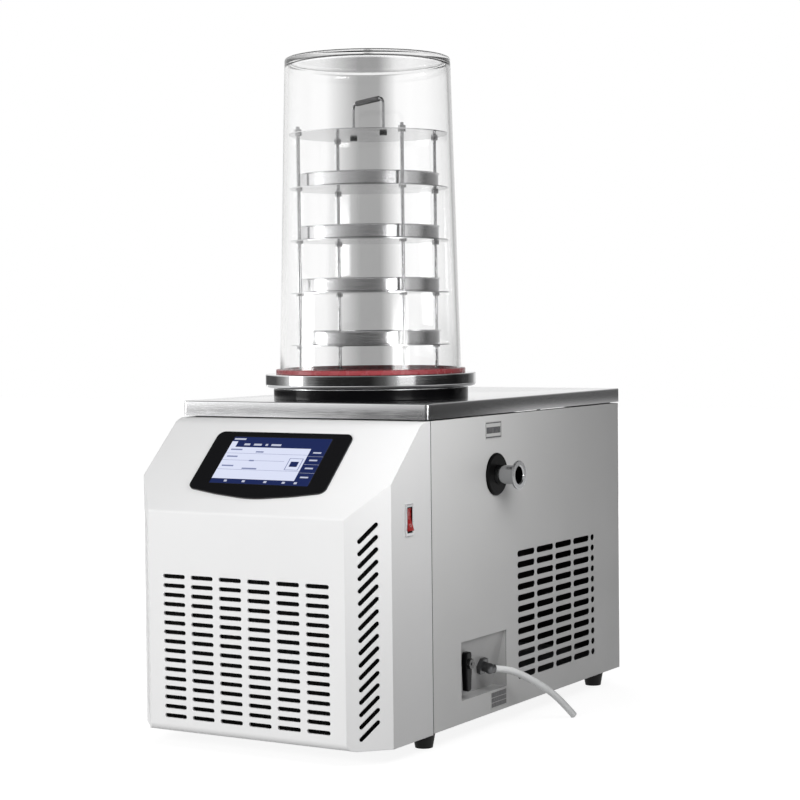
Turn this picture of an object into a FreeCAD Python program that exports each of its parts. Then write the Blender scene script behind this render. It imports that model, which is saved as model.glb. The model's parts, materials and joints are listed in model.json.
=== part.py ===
"""Bench freeze dryer: cooled cabinet with a clear drying chamber on its deck.

Millimetres, +Z up.  The shapes are drawn in cabinet coordinates: X = 0 is the
middle of the cabinet, Y = 0 is the front edge of the deck and Z = 0 is the
bench.  They are moved together so that the origin is the middle of the base.
"""
import FreeCAD, Part
import math
import os

from FreeCAD import Vector

os.makedirs("parts", exist_ok=True)

# ---------------------------------------------------------------- clearances
seat_gap = 0.3             # between two neighbours that only lie against each other
run_gap = 0.05             # radial clearance of a shaft that turns in its hole
hole_gap = 0.2             # radial clearance of a screw in a plain hole

# ---------------------------------------------------------------- cabinet
foot_height = 22.0
cabinet_height = 440.0     # underside of the base to the top of the deck
cabinet_width = 400.0
cabinet_depth = 600.0      # deck, front edge to back edge
deck_overhang = 1.0        # deck past the side panels, each side
deck_sheet = 1.5
deck_edge = 21.0           # height of the deck's folded edge
deck_bend = 1.6
deck_corner = 5.0          # outer radius of the deck's upright corners
seam = 2.0                 # shadow gap under the deck's edge
panel_sheet = 1.2
panel_flange = 12.0
base_sheet = 2.0
base_wall = 26.0
frame_leg = 20.0
frame_sheet = 2.0

# ---------------------------------------------------------------- front cover
cover_reach = 140.0        # front face ahead of the deck's front edge
cover_tail = 8.0           # cover's sides behind the deck's front edge
cover_wall = 3.0
cover_drop = 1.5           # cover's lower edge below the base
cover_face = 314.0         # width of the flat front face
cover_chamfer = 46.0       # depth of the slanted corner faces
crease_drop = 119.0        # start of the sloped panel below the cover's top
slope_angle = 43.1         # sloped panel from the horizontal
slope_round = 34.0         # rounding where the sloped panel meets the deck
crease_round = 6.0
foot_round = 11.0          # rounding along the lower front edge

front_slot = (36.0, 5.6)   # length, height
front_slot_pitch = (46.0, 12.6)
front_slot_count = (6, 16)
front_slot_top = 210.0     # first row above the base
corner_slot = (36.5, 6.2)
corner_slot_pitch = 15.95
corner_slot_drop = 18.5    # first row below the start of the sloped panel
corner_slot_foot = 20.0    # lowest row at least this far above the base
corner_slot_rise = 43.0    # degrees

# ---------------------------------------------------------------- display
bezel_width = 220.0
bezel_low = 42.0           # lower corners above the crease, along the slope
bezel_high = 147.0
bezel_bulge = 16.0         # middle of the lower edge below its corners
bezel_corner = 11.0
bezel_proud = 2.4
bezel_side = -2.0          # sideways offset of the display
screen_width = 160.0
screen_length = 86.0
screen_low = 52.0          # lower edge above the crease
screen_sheet = 1.6
screen_sink = 0.5          # screen below the bezel's face
board_sheet = 1.6
display_depth = 12.0       # display unit behind the cover

# ---------------------------------------------------------------- power switch
switch_size = (19.0, 42.0)        # along Y, along Z
switch_y = -51.0
switch_drop = 6.5                 # middle below the start of the sloped panel
switch_lip = 2.2
switch_depth = 21.0
rocker_width = 11.6
rocker_length = 30.0
rocker_tilt = 9.0
rocker_pin = 1.6
rocker_shoulder = 4.0
rocker_heel = 3.0

# ---------------------------------------------------------------- side and rear openings
side_slot = (53.8, 9.0)
side_slot_pitch = (60.3, 16.0)
side_slot_count = (4, 12)
side_slot_first = 279.7           # middle of the first column behind the deck's front edge
side_slot_top = 214.6             # first row above the base
side_stub = 12.0                  # short slots that end each row
rear_slot_count = (4, 10)
rear_slot_drop = 12.4             # first row below the panel's top

plate_size = (48.0, 25.0)
plate_sheet = 0.6
port_plate_place = (183.0, 43.5)      # middle: behind the deck's front, below the deck's top
drain_plate_place = (192.0, 17.5)     # middle: behind the deck's front, above the base

# ---------------------------------------------------------------- vacuum port
port_y = 190.0
port_drop = 106.0                 # axis below the deck's top
port_bore = 24.0
port_wall = 1.2
port_reach = 37.5                 # flange face outside the side panel
port_flange = (40.0, 3.0)
port_cone = 3.4
grommet_flange = 60.0
grommet_lip = 4.0
grommet_neck = 4.0                # wall of the grommet inside the panel hole

# ---------------------------------------------------------------- drain
recess_y = (86.0, 217.0)
recess_low = 31.0                 # lower edge above the base
recess_tall = 80.0
recess_top_depth = 3.0
recess_low_depth = 23.0
recess_sheet = 1.2
recess_lip = 7.0
lever_y = 104.5
lever_height = 79.5               # lever's pivot above the base
fitting_height = 67.0             # hose fitting above the base
lever_size = (15.0, 54.0, 8.0)    # width, length, thickness
lever_above = 16.0                # lever's short arm over its pivot
lever_stand = 5.2                 # lever off the sloped wall at its pivot
neck_stand = 3.6                  # valve's neck behind the sloped wall's front
stem_diameter = 8.0
lever_nut = (13.0, 4.0)
valve_ball = 18.0
line_turn = 18.0                  # last turn of the drain line before the valve's inlet
line_lead = 10.0                  # straight run out of the valve and into the fitting
valve_bore = 9.0
valve_wall = 4.0
fitting_y = 166.0
fitting_nut = (22.0, 6.0)
fitting_stub = 14.0
fitting_reach = 14.5              # elbow's centre off the sloped wall
drain_pipe_diameter = 12.0
hose_diameter = 10.0

# ---------------------------------------------------------------- drying chamber
chamber_y = 183.0
trap_bore = 236.0
trap_wall = 1.5
trap_depth = 180.0
trap_lip = 138.0                  # radius of the out-turned lip
collar_radius = 140.5
collar_height = 14.5
flange_radius = 152.0
flange_height = 19.5
flange_nose = ((6.0, 0.0), (3.2, 1.6), (1.2, 4.2), (0.0, 7.8))   # inset and rise of its lower edge
ledge_width = 3.0
ledge_depth = 2.5
gasket_height = 6.5        # lip outside the jar
gasket_lip = 5.5           # outer lip's width
gasket_inner = (3.0, 8.0)  # inner lip's width and height
gasket_base = 3.0
jar_height = 448.5
jar_foot_radius = 131.0
jar_top_radius = 119.0
jar_wall = 5.0
jar_lid = 7.0
jar_round = 2.5
insulation_wall = 26.0
coil_tube = 8.0
coil_pitch = 12.0
coil_tail = 8.0            # the two ends come this far out of the insulation
coil_braze = 0.4           # brazed joints of the coil stand this far proud of the tube
coil_turns = (3, 4)               # below and above the vacuum port
coil_clear = 8.0                  # first turn past the port, and off the trap's floor

# ---------------------------------------------------------------- shelf rack
rack_turn = -33.0                 # rods and handle about the chamber axis, degrees
rack_base_sheet = 2.0
rack_base_inner = 88.0
rack_disc_radius = 114.0
rack_disc_sheet = 1.2
rack_top_height = 341.5           # top disc above the flange
rod_circle = 108.5
rod_diameter = 5.0
rod_tip = 8.0                     # rods past the top disc
nut_size = (9.0, 4.0)
shelf_first = 40.0                # lowest shelf above the flange
shelf_pitch = 74.7
shelf_count = 4
tray_radius = 101.5
tray_depth = 20.0
tray_sheet = 1.2
tray_rim = 1.6
handle_span = 100.0
handle_height = 48.0
handle_wire = 4.4
handle_grip = (8.0, 62.0)
handle_bend = 9.0

# ---------------------------------------------------------------- cooling
condenser_size = (300.0, 44.0, 230.0)
condenser_y = -74.0               # front face
fin_count = 22
fin_sheet = 1.6
fin_tube = 9.6
tube_rows = 8
shroud_depth = 20.0
shroud_sheet = 1.5
fan_radius = 98.0
fan_tip_gap = 4.0
fan_hub = (24.0, 26.0)            # radius, length
fan_blades = 5
fan_pitch = 32.0
blade_sheet = 2.4
blade_half = 26.0          # half depth of a blade before it is trimmed
blade_root = 6.0           # blade's root inside the hub
motor_radius = 33.0
motor_length = 52.0
shaft_diameter = 6.0
shaft_length = 14.0        # bare shaft behind the hub's socket
shaft_seat = 6.0           # hub's solid front ahead of the socket
shaft_gap = 3.0            # hub to motor
bracket_bar = (14.0, 3.0)
compressor_radius = 84.0
compressor_height = 186.0
compressor_place = (-40.0, 442.0)
compressor_plate = (196.0, 150.0, 3.0)
compressor_seam = (5.0, 6.0)                # out of the shell, height
compressor_dish = 26.0                      # height of the shell's tapered foot
compressor_dome = 34.0                      # height of its domed top
terminal_box = (16.0, 26.0, 40.0, 52.0)     # out of the shell, half width, above its foot, height
grommet_height = 14.0
grommet_radius = 11.0
drier_size = (11.0, 92.0)
line_diameter = 8.0
thin_line = 5.0
knuckle_swell = 0.3        # a line's brazed corners stand this far proud of it

# ---------------------------------------------------------------- electronics
shelf_height = 262.0              # electronics shelf above the base
shelf_depth = 170.0
board_size = (170.0, 110.0)
board_post = 8.0
board_boss = 4.0                  # radius of the shelf's bosses
relay_size = (18.0, 18.0, 16.0)
relay_first = 14.0                # first relay from the board's corner
relay_pitch = 24.0
terminal_strip = (9.0, 10.0)      # depth, height
chip_size = (24.0, 2.0)           # side, height
chip_place = (54.0, 34.0)
can_size = (12.0, 18.0)           # diameter, height of the capacitors
can_first = 118.0
can_pitch = 16.0
supply_size = (110.0, 98.0, 50.0)
inlet_place = (-120.0, 46.0)      # middle: sideways, above the base
inlet_size = (30.0, 24.0)
inlet_depth = 26.0
outlet_place = (-60.0, 46.0)

# ---------------------------------------------------------------- fasteners and feet
screw_diameter = 4.0
screw_head = (7.6, 2.0)
tab_reach = 14.0                  # cover's screw tabs inside its side walls
tab_half = 9.0
cover_screw_inset = 60.0          # cover's screws above the base, and above the crease
bolt_diameter = 6.0
bolt_head = (10.0, 4.0)
foot_top_radius = 16.0
foot_low_radius = 12.0
foot_inset = (22.0, 20.5, 55.0)   # from the side, from the front, from the back

# ================================================================ derived levels
base_z = foot_height
deck_z = base_z + cabinet_height
deck_under = deck_z - deck_sheet
panel_top = deck_z - deck_edge - seam
half_width = cabinet_width / 2
deck_half = half_width + deck_overhang
rear_out = cabinet_depth - deck_sheet - seam     # outer face of the rear panel
rear_in = rear_out - panel_sheet
pan_top = base_z + base_sheet

collar_top = deck_z + collar_height
lip_top = collar_top + trap_wall
flange_top = lip_top + flange_height
jar_foot = flange_top + gasket_base
trap_radius = trap_bore / 2
trap_floor = lip_top - trap_depth

port_z = deck_z - port_drop
port_face = half_width + port_reach
port_radius = port_bore / 2 + port_wall

recess_z = base_z + recess_low
recess_tilt = math.degrees(math.atan2(recess_low_depth - recess_top_depth, recess_tall))

# frame of the finished part: middle of the base, under everything but the hose
shift = Vector(-(port_face - deck_half) / 2, -(cabinet_depth - cover_reach) / 2, 0)


# ================================================================ drawing helpers
def block(x0, x1, y0, y1, z0, z1):
    """Box between two corners."""
    return Part.makeBox(x1 - x0, y1 - y0, z1 - z0, Vector(x0, y0, z0))


def rod(radius, start, end):
    """Round bar between two points."""
    axis = end - start
    return Part.makeCylinder(radius, axis.Length, start, axis)


def ring(outer, inner, x, y, z0, z1):
    """Upright ring."""
    body = Part.makeCylinder(outer, z1 - z0, Vector(x, y, z0))
    return body.cut(Part.makeCylinder(inner, z1 - z0 + 2, Vector(x, y, z0 - 1)))


def turned(profile, x, y):
    """Solid of revolution about the vertical line at x, y; profile is (radius, z) pairs."""
    points = [Vector(r, 0, z) for r, z in profile]
    face = Part.Face(Part.makePolygon(points + points[:1]))
    solid = face.revolve(Vector(0, 0, 0), Vector(0, 0, 1), 360)
    solid.translate(Vector(x, y, 0))
    return solid


def prism(points, direction):
    """Closed outline pushed along a vector."""
    face = Part.Face(Part.makePolygon(points + points[:1]))
    return face.extrude(direction)


def joined(shapes):
    """One solid from several that touch."""
    whole = shapes[0].fuse(shapes[1:]) if len(shapes) > 1 else shapes[0]
    return whole.removeSplitter()


def bent_tube(points, radius):
    """Closed bar that stands in for a tube: straight runs with a round knuckle at each corner."""
    runs = [rod(radius, start, end) for start, end in zip(points, points[1:])]
    return joined(runs + [Part.makeSphere(radius + knuckle_swell, corner) for corner in points[1:-1]])


def slot_along(length, height, thick, centre, along, through):
    """Round-ended slot cutter; 'along' and 'through' are unit vectors."""
    half = length / 2 - height / 2
    start = centre - along * half - through * (thick / 2)
    end = centre + along * half - through * (thick / 2)
    side = through.cross(along)
    radius = height / 2
    bar = prism([start - side * radius, end - side * radius,
                 end + side * radius, start + side * radius], through * thick)
    caps = [Part.makeCylinder(radius, thick, point, through) for point in (start, end)]
    return bar.fuse(caps)


def hexagon(across, height, base, axis):
    """Hexagonal nut blank."""
    axis = Vector(axis).normalize()
    helper = Vector(0, 0, 1) if abs(axis.z) < 0.9 else Vector(1, 0, 0)
    first = axis.cross(helper).normalize()
    second = axis.cross(first)
    corner = across / math.sqrt(3)
    points = []
    for step in range(6):
        angle = math.radians(60 * step)
        points.append(base + first * (corner * math.cos(angle)) + second * (corner * math.sin(angle)))
    return prism(points, axis * height)


def placed(shape, origin, across, up):
    """Shape drawn in a local frame, moved so that its x runs 'across' and its y runs 'up'."""
    normal = across.cross(up)
    matrix = FreeCAD.Matrix(across.x, up.x, normal.x, origin.x,
                            across.y, up.y, normal.y, origin.y,
                            across.z, up.z, normal.z, origin.z,
                            0, 0, 0, 1)
    moved = shape.copy()
    moved.Placement = FreeCAD.Placement(matrix).multiply(moved.Placement)
    return moved


def polar(radius, degrees, x, y, z):
    """Point on a circle about a vertical line."""
    angle = math.radians(degrees)
    return Vector(x + radius * math.cos(angle), y + radius * math.sin(angle), z)


nodes = {}


def keep(name, shape):
    """Move a finished node into the part's frame and remember it."""
    moved = shape.copy()
    moved.translate(shift)
    nodes[name] = moved


# ================================================================ cabinet sheet metal
foot_places = []
for foot_x in (-half_width + foot_inset[0], half_width - foot_inset[0]):
    for foot_y in (foot_inset[1], cabinet_depth - foot_inset[2]):
        foot_places.append(Vector(foot_x, foot_y, 0))

compressor_mounts = []
for side_x in (-1, 1):
    for side_y in (-1, 1):
        compressor_mounts.append(Vector(
            compressor_place[0] + side_x * (compressor_plate[0] / 2 - grommet_radius - 2),
            compressor_place[1] + side_y * (compressor_plate[1] / 2 - grommet_radius - 2),
            pan_top))

pan_half = half_width - cover_wall - seat_gap
pan_front = -cover_reach + cover_chamfer + cover_wall + seat_gap * 10
pan_back = rear_in - seat_gap


def make_base_pan():
    """Folded tray that carries the compressor, the condenser and the feet."""
    tray = block(-pan_half, pan_half, pan_front, pan_back, base_z, base_z + base_wall)
    hollow = block(-pan_half + base_sheet, pan_half - base_sheet,
                   pan_front + base_sheet, pan_back - base_sheet, pan_top, base_z + base_wall + 1)
    tray = tray.cut(hollow)
    holes = []
    for place in foot_places + compressor_mounts:
        holes.append(Part.makeCylinder(bolt_diameter / 2 + hole_gap, base_sheet + 2,
                                       Vector(place.x, place.y, base_z - 1)))
    return tray.cut(holes)


def make_feet():
    """Four tapered rubber feet with a pocket for the bolt head."""
    feet = []
    for place in foot_places:
        foot = Part.makeCone(foot_low_radius, foot_top_radius, foot_height, place)
        pocket = Part.makeCylinder(bolt_head[0] / 2 + 1, foot_height / 2, place)
        hole = Part.makeCylinder(bolt_diameter / 2 + hole_gap, foot_height, place)
        feet.append(foot.cut([pocket, hole]))
    return Part.makeCompound(feet)


def make_base_bolts():
    """Bolts of the feet and of the compressor, heads below, tips in their nuts."""
    bolts = []
    for place in foot_places:
        seat = Vector(place.x, place.y, foot_height / 2)
        head = Part.makeCylinder(bolt_head[0] / 2, bolt_head[1], seat - Vector(0, 0, bolt_head[1]))
        shank = Part.makeCylinder(bolt_diameter / 2, foot_height / 2 + base_sheet + 8, seat)
        nut = hexagon(bolt_head[0], bolt_head[1], Vector(place.x, place.y, pan_top), Vector(0, 0, 1))
        bolts.append(joined([head, shank, nut]))
    for place in compressor_mounts:
        top = pan_top + grommet_height + compressor_plate[2] + grommet_lip
        head = Part.makeCylinder(bolt_head[0] / 2, bolt_head[1], Vector(place.x, place.y, top))
        shank = Part.makeCylinder(bolt_diameter / 2, top - base_z + 2, Vector(place.x, place.y, base_z - 2))
        bolts.append(joined([head, shank]))
    return Part.makeCompound(bolts)


frame_outer = half_width - panel_flange - seat_gap
frame_front = cover_tail + seam + panel_sheet + seat_gap
frame_back = pan_back - base_sheet - seat_gap


def make_inner_frame():
    """Welded angle frame: four posts and a top ring under the deck."""
    bars = []
    for side in (-1, 1):
        x_out = side * frame_outer
        x_in = side * (frame_outer - frame_leg)
        x_web = side * (frame_outer - frame_sheet)
        for y_out, step in ((frame_front, 1), (frame_back, -1)):
            y_in = y_out + step * frame_leg
            y_web = y_out + step * frame_sheet
            bars.append(block(min(x_out, x_in), max(x_out, x_in), min(y_out, y_web), max(y_out, y_web),
                              pan_top, deck_under))
            bars.append(block(min(x_out, x_web), max(x_out, x_web), min(y_out, y_in), max(y_out, y_in),
                              pan_top, deck_under))
        bars.append(block(min(x_out, x_web), max(x_out, x_web), frame_front, frame_back,
                          deck_under - frame_leg, deck_under))
        bars.append(block(min(x_out, x_in), max(x_out, x_in), frame_front, frame_back,
                          deck_under - frame_sheet, deck_under))
    for y_out, step in ((frame_front, 1), (frame_back, -1)):
        y_in = y_out + step * frame_leg
        y_web = y_out + step * frame_sheet
        bars.append(block(-frame_outer, frame_outer, min(y_out, y_web), max(y_out, y_web),
                          deck_under - frame_leg, deck_under))
        bars.append(block(-frame_outer, frame_outer, min(y_out, y_in), max(y_out, y_in),
                          deck_under - frame_sheet, deck_under))
    return joined(bars)


panel_front = cover_tail + seam


def side_slots(face_x, thick):
    """Ventilation slots of a side panel, with the short slots that end each row."""
    cutters = []
    along = Vector(0, 1, 0)
    through = Vector(1, 0, 0)
    for row in range(side_slot_count[1]):
        z = base_z + side_slot_top - row * side_slot_pitch[1]
        for column in range(side_slot_count[0]):
            y = side_slot_first + column * side_slot_pitch[0]
            place = Vector(face_x, y, z)
            cutters.append(slot_along(side_slot[0], side_slot[1], thick, place, along, through))
        last = side_slot_first + side_slot_count[0] * side_slot_pitch[0]
        y = last - side_slot[0] / 2 + side_stub / 2
        cutters.append(slot_along(side_stub, side_slot[1], thick, Vector(face_x, y, z), along, through))
    return cutters


def make_side_panel(side):
    """Side sheet with inward flanges at its front, top and back edges."""
    outer = half_width
    inner = half_width - panel_sheet
    flange = half_width - panel_flange
    low = base_z + base_wall + seat_gap
    sheet = block(inner, outer, panel_front, rear_in, base_z, panel_top)
    front = block(flange, outer, panel_front, panel_front + panel_sheet, low, panel_top)
    back = block(flange, outer, rear_in - panel_sheet, rear_in, low, panel_top)
    top = block(flange, outer, panel_front, rear_in, panel_top - panel_sheet, panel_top)
    panel = joined([sheet, front, back, top])
    cutters = side_slots(half_width, panel_sheet * 4)
    if side > 0:
        cutters.append(Part.makeCylinder(port_radius + grommet_neck + seat_gap, panel_sheet * 4,
                                         Vector(inner - panel_sheet, port_y, port_z), Vector(1, 0, 0)))
        cutters.append(block(inner - panel_sheet, outer + panel_sheet, recess_y[0], recess_y[1],
                             recess_z, recess_z + recess_tall))
    for z in screw_rows:
        cutters.append(Part.makeCylinder(screw_diameter / 2 + hole_gap, panel_sheet * 4,
                                         Vector(screw_column, rear_in - panel_sheet * 2, z),
                                         Vector(0, 1, 0)))
    panel = panel.cut(cutters)
    if side < 0:
        panel = panel.mirror(Vector(0, 0, 0), Vector(1, 0, 0))
    return panel


screw_column = half_width - panel_flange / 2 - panel_sheet / 2
screw_rows = [base_z + base_wall + 30, base_z + cabinet_height / 2, panel_top - 30]
rear_half = half_width - seat_gap


def make_rear_panel():
    """Flat rear sheet with slots, the power inlet and the pump outlet."""
    panel = block(-rear_half, rear_half, rear_in, rear_out, base_z, panel_top)
    cutters = []
    along = Vector(1, 0, 0)
    through = Vector(0, 1, 0)
    start = -(rear_slot_count[0] - 1) / 2 * side_slot_pitch[0]
    for row in range(rear_slot_count[1]):
        for column in range(rear_slot_count[0]):
            centre = Vector(start + column * side_slot_pitch[0], rear_out,
                            panel_top - rear_slot_drop - row * side_slot_pitch[1])
            cutters.append(slot_along(side_slot[0], side_slot[1], panel_sheet * 4, centre, along, through))
    for place in (inlet_place, outlet_place):
        half = inlet_size[0] / 2 + seat_gap
        cutters.append(block(place[0] - half, place[0] + half,
                             rear_in - 1, rear_out + 1,
                             base_z + place[1] - inlet_size[1] / 2 - seat_gap,
                             base_z + place[1] + inlet_size[1] / 2 + seat_gap))
    for side in (-1, 1):
        for z in screw_rows:
            cutters.append(Part.makeCylinder(screw_diameter / 2 + hole_gap, panel_sheet * 4,
                                             Vector(side * screw_column, rear_in - 1, z), Vector(0, 1, 0)))
    return panel.cut(cutters)


def make_panel_screws():
    """Pan-head screws of the rear panel."""
    screws = []
    for side in (-1, 1):
        for z in screw_rows:
            seat = Vector(side * screw_column, rear_out, z)
            head = Part.makeCylinder(screw_head[0] / 2, screw_head[1], seat, Vector(0, 1, 0))
            edges = [edge for edge in head.Edges if edge.BoundBox.YMin > rear_out + screw_head[1] / 2]
            head = head.makeFillet(screw_head[1] / 2, edges[:1])
            shank = rod(screw_diameter / 2, seat, seat - Vector(0, panel_sheet * 2 + 8, 0))
            screws.append(joined([head, shank]))
    return Part.makeCompound(screws + cover_screws())


def make_top_plate():
    """Stainless deck: one folded sheet with a round opening for the trap."""
    plate = block(-deck_half, deck_half, 0, cabinet_depth, deck_z - deck_edge, deck_z)
    plate = plate.makeFillet(deck_corner, [edge for edge in plate.Edges
                                           if edge.BoundBox.ZLength > deck_edge / 2])
    plate = plate.makeFillet(deck_bend, [edge for edge in plate.Edges
                                         if edge.BoundBox.ZMin > deck_z - deck_edge / 2])
    hollow = block(-deck_half + deck_sheet, deck_half - deck_sheet, deck_sheet, cabinet_depth - deck_sheet,
                   deck_z - deck_edge - 1, deck_under)
    hollow = hollow.makeFillet(deck_corner - deck_sheet, [edge for edge in hollow.Edges
                                                          if edge.BoundBox.ZLength > deck_edge / 2])
    opening = Part.makeCylinder(trap_radius + trap_wall + seat_gap * 5, deck_sheet * 4,
                                Vector(0, chamber_y, deck_under - deck_sheet))
    return plate.cut([hollow, opening])


# ================================================================ front cover
slope = math.radians(slope_angle)
crease_z = panel_top - crease_drop
switch_z = crease_z - switch_drop
corner_slot_span = crease_z - base_z - corner_slot_drop - corner_slot_foot
corner_slot_count = int(corner_slot_span / corner_slot_pitch) + 1
slope_up = Vector(0, math.cos(slope), math.sin(slope))
slope_origin = Vector(0, -cover_reach, crease_z)


def cover_body(inset):
    """Cover's outer form, drawn 'inset' inside itself; open behind only when inset > 0."""
    front = -cover_reach + inset
    back = cover_tail + (1 if inset else 0)
    low = base_z - cover_drop + inset
    top = panel_top - inset
    shift_down = inset * math.tan(slope / 2)
    crease = Vector(0, front, crease_z - shift_down)
    upper_y = crease.y + (top - crease.z) / math.tan(slope)
    corners = [Vector(0, back, low), Vector(0, front, low), crease, Vector(0, upper_y, top),
               Vector(0, back, top)]
    radii = [0, max(foot_round - inset, 1), max(crease_round - inset, 1), slope_round - inset, 0]
    side_view = rounded_outline(corners, radii)
    width = half_width * 2 + 2
    profile = Part.Face(side_view).extrude(Vector(width, 0, 0))
    profile.translate(Vector(-width / 2, 0, 0))
    half_out = half_width - inset
    side_run = half_width - cover_face / 2
    corner_length = math.hypot(side_run, cover_chamfer)
    along_front = inset * (corner_length - cover_chamfer) / side_run
    along_side = inset * (corner_length - side_run) / cover_chamfer
    half_face = cover_face / 2 - along_front
    corner_y = -cover_reach + cover_chamfer + along_side
    plan = [Vector(-half_out, back, 0), Vector(-half_out, corner_y, 0), Vector(-half_face, front, 0),
            Vector(half_face, front, 0), Vector(half_out, corner_y, 0), Vector(half_out, back, 0)]
    column = prism(plan, Vector(0, 0, deck_z))
    return profile.common(column)


def rounded_outline(corners, radii):
    """Closed wire through the corners with a tangent arc of the given radius at each."""
    count = len(corners)
    cuts = []
    for index in range(count):
        corner = corners[index]
        before = (corners[index - 1] - corner).normalize()
        after = (corners[(index + 1) % count] - corner).normalize()
        radius = radii[index]
        if radius <= 0:
            cuts.append((corner, corner, None))
            continue
        half = before.getAngle(after) / 2
        reach = radius / math.tan(half)
        bisector = (before + after).normalize()
        centre = corner + bisector * (radius / math.sin(half))
        middle = centre - bisector * radius
        cuts.append((corner + before * reach, corner + after * reach, middle))
    edges = []
    for index in range(count):
        start, end, middle = cuts[index]
        if middle is not None:
            edges.append(Part.Arc(start, middle, end).toShape())
        following = cuts[(index + 1) % count][0]
        edges.append(Part.LineSegment(end, following).toShape())
    return Part.Wire(edges)


def display_outline(width, low, high, corner, bulge, z):
    """Rounded rectangle whose lower edge bows down; drawn in the slope's own plane."""
    half = width / 2
    corners = [Vector(-half, low, z), Vector(half, low, z), Vector(half, high, z), Vector(-half, high, z)]
    if bulge <= 0:
        return rounded_outline(corners, [corner] * 4)
    bow = bulge * 0.55
    corners = [Vector(-half, low, z), Vector(-half * 0.55, low - bow, z), Vector(0, low - bulge, z),
               Vector(half * 0.55, low - bow, z), Vector(half, low, z),
               Vector(half, high, z), Vector(-half, high, z)]
    soft = width * 0.6
    return rounded_outline(corners, [corner, soft, soft * 1.5, soft, corner, corner, corner])


def on_slope(shape):
    """Place a shape drawn in the slope's own frame: x sideways, y up the slope, z outwards."""
    return placed(shape, slope_origin + Vector(bezel_side, 0, 0), Vector(1, 0, 0), slope_up)


def sloped_plate(width, low, high, corner, bulge, z0, z1):
    """Plate with the display outline between two heights above the slope."""
    face = Part.Face(display_outline(width, low, high, corner, bulge, z0))
    return face.extrude(Vector(0, 0, z1 - z0))


screen_high = screen_low + screen_length
pocket_margin = 6.0


def make_front_cover():
    """Moulded front shell with its grilles and the openings of display and switch."""
    shell = cover_body(0).cut(cover_body(cover_wall))
    behind = block(-pan_half - seat_gap, pan_half + seat_gap, pan_front - seat_gap, cabinet_depth,
                   0, base_z + cover_wall + seam)
    cutters = [behind]
    along = Vector(1, 0, 0)
    through = Vector(0, 1, 0)
    first = -(front_slot_count[0] - 1) / 2 * front_slot_pitch[0]
    for row in range(front_slot_count[1]):
        z = base_z + front_slot_top - row * front_slot_pitch[1]
        for column in range(front_slot_count[0]):
            centre = Vector(first + column * front_slot_pitch[0], -cover_reach + cover_wall / 2, z)
            cutters.append(slot_along(front_slot[0], front_slot[1], cover_wall * 3, centre, along, through))
    rise = math.radians(corner_slot_rise)
    side_run = half_width - cover_face / 2
    length = math.hypot(side_run, cover_chamfer)
    for side in (-1, 1):
        outward = Vector(side * cover_chamfer / length, -side_run / length, 0)
        level = Vector(side * side_run / length, cover_chamfer / length, 0)
        along = level * math.cos(rise) + Vector(0, 0, math.sin(rise))
        middle = Vector(side * (half_width + cover_face / 2) / 2, -cover_reach + cover_chamfer / 2, 0)
        for row in range(corner_slot_count):
            z = crease_z - corner_slot_drop - row * corner_slot_pitch
            cutters.append(slot_along(corner_slot[0], corner_slot[1], cover_wall * 3,
                                      middle + Vector(0, 0, z), along, outward))
    pocket = sloped_plate(screen_width + pocket_margin * 2, screen_low - pocket_margin,
                          screen_high + pocket_margin, 2, 0, -cover_wall * 2, cover_wall)
    cutters.append(on_slope(pocket))
    cutters.append(block(half_width - cover_wall * 2, half_width + 1,
                         switch_y - switch_size[0] / 2 + switch_lip,
                         switch_y + switch_size[0] / 2 - switch_lip,
                         switch_z - switch_size[1] / 2 + switch_lip,
                         switch_z + switch_size[1] / 2 - switch_lip))
    shell = shell.cut(cutters)
    tabs = []
    for side in (-1, 1):
        for z in cover_screw_rows:
            ends = sorted((side * (half_width - cover_wall - tab_reach),
                           side * (half_width - cover_wall / 2)))
            tabs.append(block(ends[0], ends[1], cover_tail - cover_wall, cover_tail,
                              z - tab_half, z + tab_half))
    shell = joined([shell] + tabs)
    holes = []
    for side in (-1, 1):
        for z in cover_screw_rows:
            holes.append(Part.makeCylinder(screw_diameter / 2 + hole_gap, cover_wall * 4,
                                           Vector(side * cover_screw_x, cover_tail - cover_wall * 2, z),
                                           Vector(0, 1, 0)))
    return shell.cut(holes)


cover_screw_rows = [base_z + cover_screw_inset, crease_z + cover_screw_inset]
cover_screw_x = half_width - cover_wall - 8


def cover_screws():
    """The same screws through the cover's rear tabs."""
    screws = []
    for side in (-1, 1):
        for z in cover_screw_rows:
            seat = Vector(side * cover_screw_x, cover_tail - cover_wall, z)
            head = Part.makeCylinder(screw_head[0] / 2, screw_head[1], seat, Vector(0, -1, 0))
            shank = rod(screw_diameter / 2, seat, seat + Vector(0, cover_wall + seam * 0.6, 0))
            screws.append(joined([head, shank]))
    return screws


def make_display_bezel():
    """Glossy frame on the sloped panel, with a collar that drops through the cover."""
    plate = sloped_plate(bezel_width, bezel_low, bezel_high, bezel_corner, bezel_bulge, 0, bezel_proud)
    margin = pocket_margin - seat_gap
    collar = sloped_plate(screen_width + margin * 2, screen_low - margin, screen_high + margin, 2, 0,
                          -display_depth, bezel_proud / 2)
    window = sloped_plate(screen_width, screen_low, screen_high, 1, 0, -display_depth - 1, bezel_proud + 1)
    return on_slope(joined([plate, collar]).cut(window))


def make_display_screen():
    """Display module in the bezel's window: flat panel with its driver board bonded behind."""
    top = bezel_proud - screen_sink
    screen = sloped_plate(screen_width - seat_gap * 2, screen_low + seat_gap, screen_high - seat_gap, 1, 0,
                          top - screen_sheet - board_sheet, top)
    back = top - screen_sheet - board_sheet
    chips = [block(-60, -30, screen_low + 20, screen_low + 50, back - 3, back),
             block(0, 12, screen_low + 15, screen_low + 65, back - 6, back),
             block(40, 62, screen_low + 30, screen_low + 46, back - 2.4, back)]
    return on_slope(joined([screen] + chips))


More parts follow.
